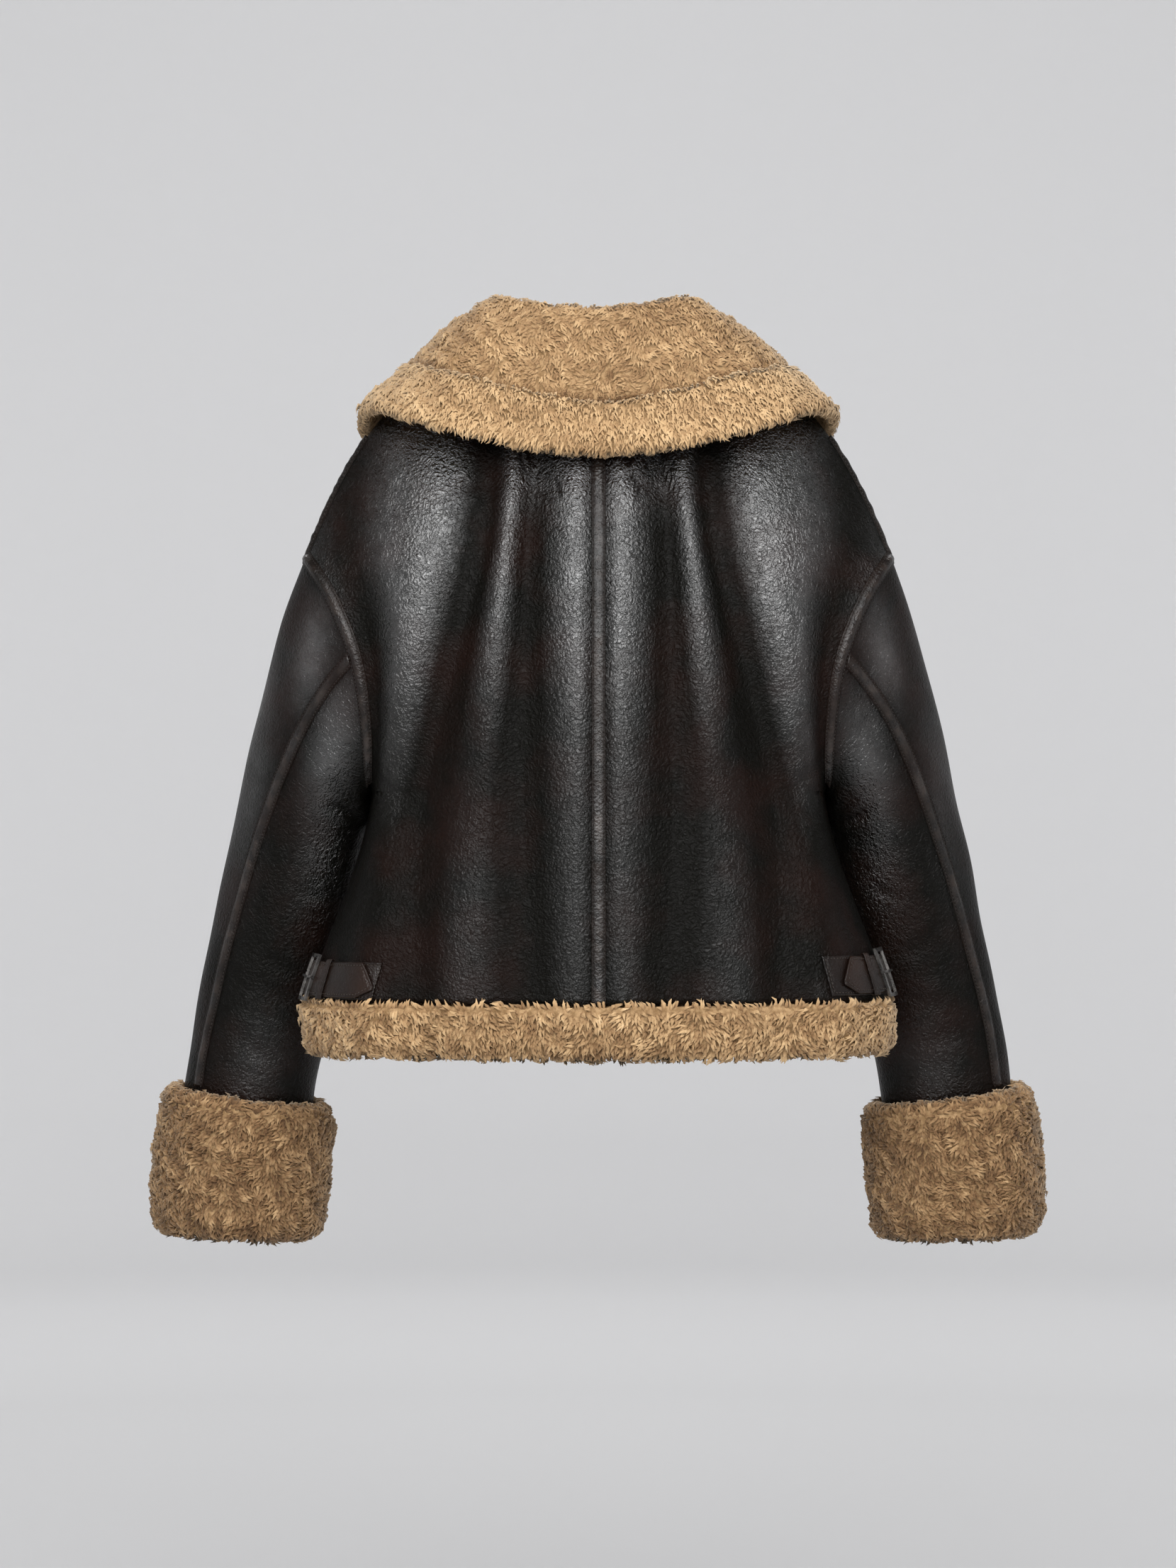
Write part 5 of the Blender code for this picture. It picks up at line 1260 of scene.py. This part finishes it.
def side_plate(name, node, table, ats, low, high, heights, finish):
    """A plate wrapped round the side, its edges rolled and a little proud of its stitch line."""
    v = np.concatenate([[0, 0.012, 0.035, 0.07, 0.11, 0.16], np.linspace(0.24, 0.76, 7)])
    v = np.concatenate([v, 1 - v[5::-1]])
    z = low[:, None] * (1 - v) + high[:, None] * v
    height_low, height_high = heights
    wide = (high - low)[:, None]
    ends = np.minimum(np.abs(ats - ats[0]), np.abs(ats - ats[-1]))[:, None]
    edge = np.minimum(np.minimum(v, 1 - v)[None] * wide, ends)
    roll = np.clip(edge / PLATE_ROLL, 0, 1) ** 0.5
    groove = 0.3 * np.exp(-(((edge - PLATE_GROOVE[0]) / PLATE_GROOVE[1]) ** 2))
    height = height_low + (height_high - height_low) * (0.35 + 0.65 * roll - groove)
    outer = on_side(table, ats[:, None], z, height)
    inner = on_side(table, ats[:, None], z, height_low)
    piece = wall(name, outer, inner, [finish], tone=np.exp(-((edge / PLATE_WORN) ** 2)))
    stand_for(node)


def edge_row(table, ats, zs, height):
    """Points along a line on the side and the way out at each, for stitches."""
    low, high = on_side(table, ats, zs, height), on_side(table, ats, zs, height + 0.001)
    return low, unit(high - low)


def fine_ends(start, end, count):
    """Even steps with closer ones at both ends."""
    near = np.array([0.0, 0.0003, 0.0008, 0.0016, 0.0026, 0.0036])
    return np.concatenate([start + near, np.linspace(start + 0.006, end - 0.006, count), (end - near)[::-1]])


def make_waist(side):
    sizes, table = WAIST[side], side_table(side)
    low, high = sizes["low"], sizes["high"]
    ats = fine_ends(TAB_START, sizes["tab_end"], 30)
    level = np.ones(len(ats))
    side_plate(f"side_tab_{side}", f"waist_tab_{side}", table, ats, low * level, high * level, TAB, "tab")

    strap_low, strap_high = low + STRAP_INSET, high - STRAP_INSET
    point_z = strap_low + 0.3 * (strap_high - strap_low)
    ats = fine_ends(STRAP_START, sizes["tip"] - STRAP_POINT, 46)[:-6]
    ats = np.concatenate([ats, np.linspace(sizes["tip"] - STRAP_POINT, sizes["tip"], 12)])
    share = np.clip((ats - (sizes["tip"] - STRAP_POINT)) / STRAP_POINT, 0, 1) ** 1.1
    z_low = strap_low + (point_z - 0.0015 - strap_low) * share
    z_high = strap_high + (point_z + 0.0015 - strap_high) * share
    side_plate(f"side_strap_{side}", f"waist_strap_{side}", table, ats, z_low, z_high, STRAP, "strap")

    inset = PLATE_GROOVE[0]
    tab_in = np.linspace(TAB_START + inset, sizes["tab_end"] - inset, 60)
    end_z = np.linspace(low + inset, high - inset, 12)
    strap_in = np.linspace(STRAP_START + inset, sizes["tip"] - STRAP_POINT, 60)
    strap_in = np.append(strap_in, sizes["tip"] - 0.004)
    rows = [
        edge_row(table, tab_in, np.full(60, low + inset), TAB[1]),
        edge_row(table, tab_in, np.full(60, high - inset), TAB[1]),
        edge_row(table, np.full(12, sizes["tab_end"] - inset), end_z, TAB[1]),
        edge_row(table, strap_in, np.append(np.full(60, strap_low + inset), point_z), STRAP[1]),
        edge_row(table, strap_in, np.append(np.full(60, strap_high - inset), point_z + 0.001), STRAP[1]),
    ]
    stitch_rows(f"side_stitches_{side}", rows, "light_thread")
    make_keeper(side, table, low, high)


def make_keeper(side, table, low, high):
    """The loop that holds the strap down on the tab."""
    half_height = (high - low) / 2 + 0.0008
    middle_z, middle_h = (high + low) / 2, (KEEPER_LOW + KEEPER_TOP) / 2
    half_thick = (KEEPER_TOP - KEEPER_LOW) / 2
    turns = np.linspace(0, 2 * math.pi, 49)[:-1]
    round_z = np.sign(np.cos(turns)) * np.abs(np.cos(turns)) ** 0.35
    round_h = np.sign(np.sin(turns)) * np.abs(np.sin(turns)) ** 0.35
    ats = KEEPER_AT + KEEPER_HALF * np.array([-1.0, -0.9, -0.6, -0.2, 0.2, 0.6, 0.9, 1.0])
    crown = np.array([-0.0003, 0.0, 0.0001, 0.0002, 0.0002, 0.0001, 0.0, -0.0003])
    outer, inner = [], []
    for at, more in zip(ats, crown):
        for ring, high_by, thick_by in ((outer, 0, more), (inner, -KEEPER_WALL, -KEEPER_WALL)):
            z = middle_z + (half_height + high_by) * round_z
            ring.append(on_side(table, at, z, middle_h + (half_thick + thick_by) * round_h))
    tone = np.repeat([[1.0], [0.5], [0.0], [0.0], [0.0], [0.0], [0.5], [1.0]], 48, axis=1)
    piece = wall(f"strap_loop_{side}", np.array(outer), np.array(inner), ["strap"], wrap_v=True, tone=tone)
    stand_for(f"waist_keeper_{side}")


# Front zip

def front_line(z):
    return smooth_curve(CENTRE["front"]["z"], CENTRE["front"]["y"], z)


def make_zip():
    """Interlocked teeth, the tapes that carry them, and the topstitching beside them."""
    pitch, tooth_high = 0.0046, 0.00155
    half = [(-0.001, -0.6), (0.0006, -1.0), (0.0034, -1.0), (0.0036, -0.5)]
    outline = half + [(x, -high) for x, high in half[::-1]]
    vertices, faces = [], []
    for side, shift in ((-1.0, 0.0), (1.0, 0.5)):
        for z in np.arange(ZIP_LOW_Z + 0.002 + shift * pitch, ZIP_TOP_Z - 0.001, pitch):
            y = float(front_line(z))
            first = len(vertices)
            for depth in (y - WALL + 0.0004, y - 0.0007):
                vertices += [(side * x, depth, z + high * tooth_high / 2 * 1.3) for x, high in outline]
            faces += [list(range(first, first + 8)), list(range(first + 15, first + 7, -1))]
            for k in range(8):
                a, b = first + k, first + (k + 1) % 8
                faces.append([a, a + 8, b + 8, b])
    teeth = new_object("teeth_rows", vertices, faces, ["metal"])
    teeth.data.shade_flat()
    stand_for("zip_teeth")
    heights = np.linspace(HEM_Z + 0.001, -0.084, 90)
    rows = []
    for side_name, side in SIDES.items():
        x = np.linspace(0.0003, TAPE_OUT, 9)
        y = front_line(heights)[None] - WALL - 0.0012 - 0.0022 * (x[:, None] - 0.0003) / (TAPE_OUT - 0.0003)
        outer = np.stack([side * x[:, None] + 0 * y, y, heights[None] + 0 * y], axis=-1)
        piece = wall(f"zip_cloth_{side_name}", outer, outer - np.array([0, 0.0008, 0]), ["zip_cloth"])
        stand_for(f"zip_tape_{side_name}")
        columns = np.array([0.036, 0.04])
        points, out = panel("front", columns, np.linspace(0.004, 0.93, 150), side_name)
        rows.append((points[0] + out[0] * 0.0002, out[0]))
    stitch_rows("zip_topstitch", rows)


# Materials

FINISHES = {}


class Nodes:
    """A material's nodes, made and linked in short calls."""

    def __init__(self, name):
        self.made = bpy.data.materials.new(name)
        self.made.use_nodes = True
        self.tree = self.made.node_tree
        self.shader = self.tree.nodes["Principled BSDF"]
        self.place = self.new("TexCoord").outputs["Object"]
        FINISHES[name] = self.made

    def new(self, kind, **inputs):
        node = self.tree.nodes.new("ShaderNode" + kind)
        for key, value in inputs.items():
            self.feed(node.inputs[key.replace("_", " ")], value)
        return node

    def feed(self, socket, value):
        if isinstance(value, bpy.types.NodeSocket):
            self.tree.links.new(value, socket)
        else:
            socket.default_value = value

    def noise(self, scale, detail=3.0, rough=0.5, where=None):
        node = self.new("TexNoise", Scale=scale, Detail=detail, Roughness=rough)
        self.feed(node.inputs["Vector"], where or self.place)
        return node.outputs["Fac"]

    def math(self, kind, a, b=0.0, clamp=False):
        node = self.tree.nodes.new("ShaderNodeMath")
        node.operation = kind
        node.use_clamp = clamp
        self.feed(node.inputs[0], a)
        self.feed(node.inputs[1], b)
        return node.outputs[0]

    def between(self, share, low, high):
        scaled = self.math("MULTIPLY_ADD", share, high - low)
        scaled.node.inputs[2].default_value = low
        return scaled

    def ramp(self, fac, stops):
        node = self.tree.nodes.new("ShaderNodeValToRGB")
        while len(node.color_ramp.elements) < len(stops):
            node.color_ramp.elements.new(0.5)
        for element, (at, colour) in zip(node.color_ramp.elements, stops):
            element.position = at
            element.color = (*colour, 1.0) if hasattr(colour, "__len__") else (colour, colour, colour, 1.0)
        self.feed(node.inputs[0], fac)
        return node.outputs[0]

    def mix(self, fac, a, b):
        node = self.tree.nodes.new("ShaderNodeMix")
        node.data_type = "RGBA"
        self.feed(node.inputs["Factor"], fac)
        self.feed(node.inputs[6], a if isinstance(a, bpy.types.NodeSocket) else (*a, 1.0))
        self.feed(node.inputs[7], b if isinstance(b, bpy.types.NodeSocket) else (*b, 1.0))
        return node.outputs[2]

    def attribute(self, name, output="Fac"):
        node = self.tree.nodes.new("ShaderNodeAttribute")
        node.attribute_name = name
        return node.outputs[output]

    def warped(self, scale, amount):
        """The place pushed about by noise, so that cells and creases aren't straight."""
        node = self.new("TexNoise", Scale=scale, Detail=2.0)
        self.feed(node.inputs["Vector"], self.place)
        shift = self.tree.nodes.new("ShaderNodeVectorMath")
        shift.operation = "MULTIPLY_ADD"
        self.feed(shift.inputs[0], node.outputs["Color"])
        shift.inputs[1].default_value = (amount, amount, amount)
        self.feed(shift.inputs[2], self.place)
        return shift.outputs[0]

    def cracks(self, where, scale, wide):
        node = self.new("TexVoronoi", Scale=scale)
        node.feature = "DISTANCE_TO_EDGE"
        self.feed(node.inputs["Vector"], where)
        return self.ramp(node.outputs["Distance"], [(0.0, 0.0), (wide, 1.0)])

    def bump(self, height, distance, strength=1.0):
        node = self.new("Bump", Strength=strength, Distance=distance, Height=height)
        self.feed(self.shader.inputs["Normal"], node.outputs[0])
        self.feed(self.shader.inputs["Coat Normal"], node.outputs[0])

    def set(self, **values):
        for key, value in values.items():
            self.feed(self.shader.inputs[key.replace("_", " ")], value)


def leather_relief(nodes, coarse):
    """Fine crackled grain: irregular cells with creased lines between, and finer wrinkles in them."""
    where = nodes.warped(60, 0.008)
    ridges = nodes.math("ABSOLUTE", nodes.math("SUBTRACT", nodes.noise(190, 3.0, 0.6, where), 0.5))
    wrinkled = nodes.ramp(ridges, [(0.0, 0.0), (0.12, 1.0)])
    cells = nodes.cracks(where, 230, 0.34)
    low = nodes.math("MULTIPLY", cells, 0.4 * coarse)
    middle = nodes.math("ADD", low, nodes.math("MULTIPLY", wrinkled, 0.5 * coarse))
    return nodes.math("ADD", middle, nodes.math("MULTIPLY", nodes.noise(520, 2.0), 0.35))


def leather(name, dark, warm, rough, shine, coarse):
    """Black-brown leather. Its fifth argument names the points' value that says where it shines, or is one
    number; on the panels and sleeves that value is partly painted highlight and painted shade.
    """
    nodes = Nodes(name)
    mottle = nodes.noise(13, 3.0, 0.55)
    colour = nodes.mix(nodes.ramp(mottle, [(0.44, 0.0), (0.64, 1.0)]), dark, warm)
    near_seam = nodes.attribute("tone")
    relief = leather_relief(nodes, coarse)
    colour = nodes.mix(nodes.math("MULTIPLY", near_seam, 0.35), colour, tuple(c * 0.5 for c in dark))
    spotty = nodes.between(nodes.noise(40, 2.0), rough - 0.07, rough + 0.07)
    if isinstance(shine, str):
        away = nodes.between(nodes.math("POWER", near_seam, 4.0), 1.0, 0.25)
        # The coat follows the points' value: wear on the tapes, on the leather pieces partly painted
        # highlight and shade
        wear_and_highlight = nodes.attribute(shine)
        if shine == "shine":
            wear_and_highlight = nodes.math("MULTIPLY", wear_and_highlight, away)
        patchy = nodes.math("MULTIPLY", wear_and_highlight, nodes.between(nodes.noise(55, 3.0), 0.55, 1.4), True)
        spotty = nodes.math("ADD", spotty, nodes.between(wear_and_highlight, 0.14, 0.0))
        nodes.set(Coat_Weight=nodes.math("MULTIPLY", patchy, SHINE_MOST[shine]))
    else:
        nodes.set(Coat_Weight=shine)
    nodes.set(Base_Color=colour, Roughness=spotty, Specular_IOR_Level=0.05, Coat_Roughness=0.25, Coat_IOR=1.9)
    nodes.bump(relief, 0.0009, 0.9)
    return nodes


def make_leathers():
    for name, settings in LEATHERS.items():
        made = leather(name, *settings)
        if name == "tape":
            base = made.shader.inputs["Base Color"].links[0].from_socket
            patches = made.ramp(made.noise(90), [(0.42, 0.0), (0.66, 1.0)])
            wear_and_highlight = made.math("MULTIPLY", made.attribute("tone"), patches)
            made.set(Base_Color=made.mix(wear_and_highlight, base, TAPE_RUBBED))


def make_wools():
    fur = Nodes("fur")
    strand = fur.new("TexNoise", Scale=2.2, Detail=2.0)
    fur.feed(strand.inputs["Vector"], fur.attribute("strand", "Vector"))
    tone = fur.math("ADD", fur.attribute("tone"), fur.math("MULTIPLY", strand.outputs["Fac"], 0.16))
    tone = fur.math("SUBTRACT", tone, 0.08, True)
    fur.set(Base_Color=fur.ramp(tone, FUR_COLOURS), Roughness=0.85, Specular_IOR_Level=0.25)
    fur.set(Sheen_Weight=0.35, Sheen_Roughness=0.5, Sheen_Tint=(1.0, 0.85, 0.65, 1.0))
    fur.bump(strand.outputs["Fac"], 0.0006, 0.6)

    wool = Nodes("wool")
    wool.set(Base_Color=wool.ramp(wool.noise(220), WOOL_COLOURS), Roughness=0.95, Specular_IOR_Level=0.1)
    wool.bump(wool.noise(420, 4.0), 0.0015)

    lining = Nodes("lining")
    curls = lining.cracks(lining.warped(180, 0.005), 190, 0.5)
    lining.set(Base_Color=lining.ramp(curls, PILE_COLOURS), Roughness=0.95, Specular_IOR_Level=0.15)
    lining.set(Sheen_Weight=0.3)
    lining.bump(lining.math("ADD", curls, lining.noise(700)), 0.0022)


def make_trims():
    for name, colour in THREADS.items():
        thread = Nodes(name)
        twist = thread.noise(1500, 1.0)
        thread.set(Base_Color=thread.mix(twist, tuple(c * 0.6 for c in colour), colour), Roughness=0.55)
        thread.bump(twist, 0.0001)

    metal = Nodes("metal")
    scuffed = metal.ramp(metal.noise(150), [(0.3, 0.22), (0.7, 0.42)])
    metal.set(Base_Color=metal.ramp(metal.noise(400, 4.0), METAL_COLOURS), Metallic=1.0, Roughness=scuffed)
    metal.bump(metal.noise(900), 0.00008)

    cloth = Nodes("zip_cloth")
    weave = cloth.new("TexWave", Scale=420.0, Distortion=0.4)
    cloth.feed(weave.inputs["Vector"], cloth.place)
    cloth.set(Base_Color=cloth.ramp(weave.outputs["Fac"], CLOTH_COLOURS), Roughness=0.85)
    cloth.bump(weave.outputs["Fac"], 0.0002)


def make_paint():
    """The backdrop's paint, which evens out the light on it."""
    paint = Nodes("backdrop")
    split = paint.tree.nodes.new("ShaderNodeSeparateXYZ")
    paint.feed(split.inputs[0], paint.place)
    squares = [paint.math("POWER", split.outputs[axis], 2.0) for axis in ("X", "Y")]
    across = paint.math("SQRT", paint.math("ADD", *squares))
    height = paint.math("ADD", split.outputs["Z"], -FLOOR_Z)
    way = paint.math("DIVIDE", paint.math("ADD", across, height), STUDIO_WAY)
    tint = paint.ramp(way, [(at / STUDIO_WAY, (grey, grey, grey * 1.01)) for at, grey in STUDIO_SHADES])
    paint.set(Base_Color=tint, Roughness=0.9, Specular_IOR_Level=0.1)


# Studio

def make_stage():
    """A round pale studio: the floor below the jacket curves up into a wall on every side."""
    flat = STUDIO_RADIUS - STUDIO_BEND
    profile = [(flat * share, FLOOR_Z) for share in (0.1, 0.4, 0.7, 0.92, 1.0)]
    for turn in np.linspace(0, math.pi / 2, 14)[1:]:
        out = STUDIO_RADIUS - STUDIO_BEND * (1 - math.sin(turn))
        profile.append((out, FLOOR_Z + STUDIO_BEND * (1 - math.cos(turn))))
    profile.append((STUDIO_RADIUS, STUDIO_TOP))
    angles = 2 * math.pi * np.arange(STUDIO_SIDES) / STUDIO_SIDES
    vertices = [(r * math.cos(a), r * math.sin(a), z) for a in angles for r, z in profile]
    count = len(profile)
    faces = quads(STUDIO_SIDES, count, wrap_u=True).tolist()
    faces.append([k * count for k in range(STUDIO_SIDES)])
    mesh = bpy.data.meshes.new("backdrop")
    mesh.from_pydata(vertices, [], faces)
    sort_normals(mesh, False)
    mesh.shade_smooth()
    mesh.materials.append(FINISHES["backdrop"])
    sheet = bpy.data.objects.new("backdrop", mesh)
    bpy.context.scene.collection.objects.link(sheet)


def area_light(name, at, target, size, power):
    light = bpy.data.lights.new(name, "AREA")
    light.shape = "RECTANGLE"
    light.size, light.size_y = size
    light.energy = power
    lamp = bpy.data.objects.new(name, light)
    lamp.location = at
    away = np.array(at) - np.array(target)
    flat = math.hypot(away[0], away[1])
    lamp.rotation_euler = (math.atan2(flat, away[2]), 0.0, math.atan2(away[0], -away[1]))
    lamp.visible_camera = False
    bpy.context.scene.collection.objects.link(lamp)


def make_lights():
    for name, settings in SOFTBOXES.items():
        area_light(name, *settings)
    for number in range(4):
        turn = number * math.pi / 2
        ends = [(r * math.cos(turn), r * math.sin(turn), z) for r, z in (WASH_FROM, WASH_TO)]
        area_light(f"wall_wash_{number}", *ends, WASH_SIZE, WASH_POWER)
    world = bpy.data.worlds.new("studio")
    world.use_nodes = True
    background = world.node_tree.nodes["Background"]
    background.inputs["Color"].default_value = (1.0, 1.0, 1.0, 1.0)
    background.inputs["Strength"].default_value = WORLD_STRENGTH
    bpy.context.scene.world = world
    bpy.context.scene.view_settings.view_transform = "Standard"


def make_camera():
    camera = bpy.data.cameras.new("camera")
    camera.sensor_width = SENSOR
    camera.lens = SENSOR * abs(CAMERA_AT[1]) / VIEW_HEIGHT
    holder = bpy.data.objects.new("camera", camera)
    holder.location = CAMERA_AT
    holder.rotation_euler = (math.pi / 2, 0.0, 0.0)
    bpy.context.scene.collection.objects.link(holder)
    bpy.context.scene.camera = holder


def dress_metal():
    """The buckles, prongs, slider and pull keep their CAD shape and get the metal's finish."""
    for name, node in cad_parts.items():
        if name.startswith(("waist_buckle", "waist_prong", "zip_slider", "zip_pull")):
            for slot in node.material_slots:
                slot.material = FINISHES["metal"]


def main():
    make_camera()
    make_leathers()
    make_wools()
    make_trims()
    make_paint()
    make_panels()
    make_sleeves()
    make_tapes()
    make_collar()
    make_hem_band()
    make_cuffs()
    for side in SIDES:
        make_waist(side)
    make_zip()
    dress_metal()
    make_stage()
    make_lights()


main()
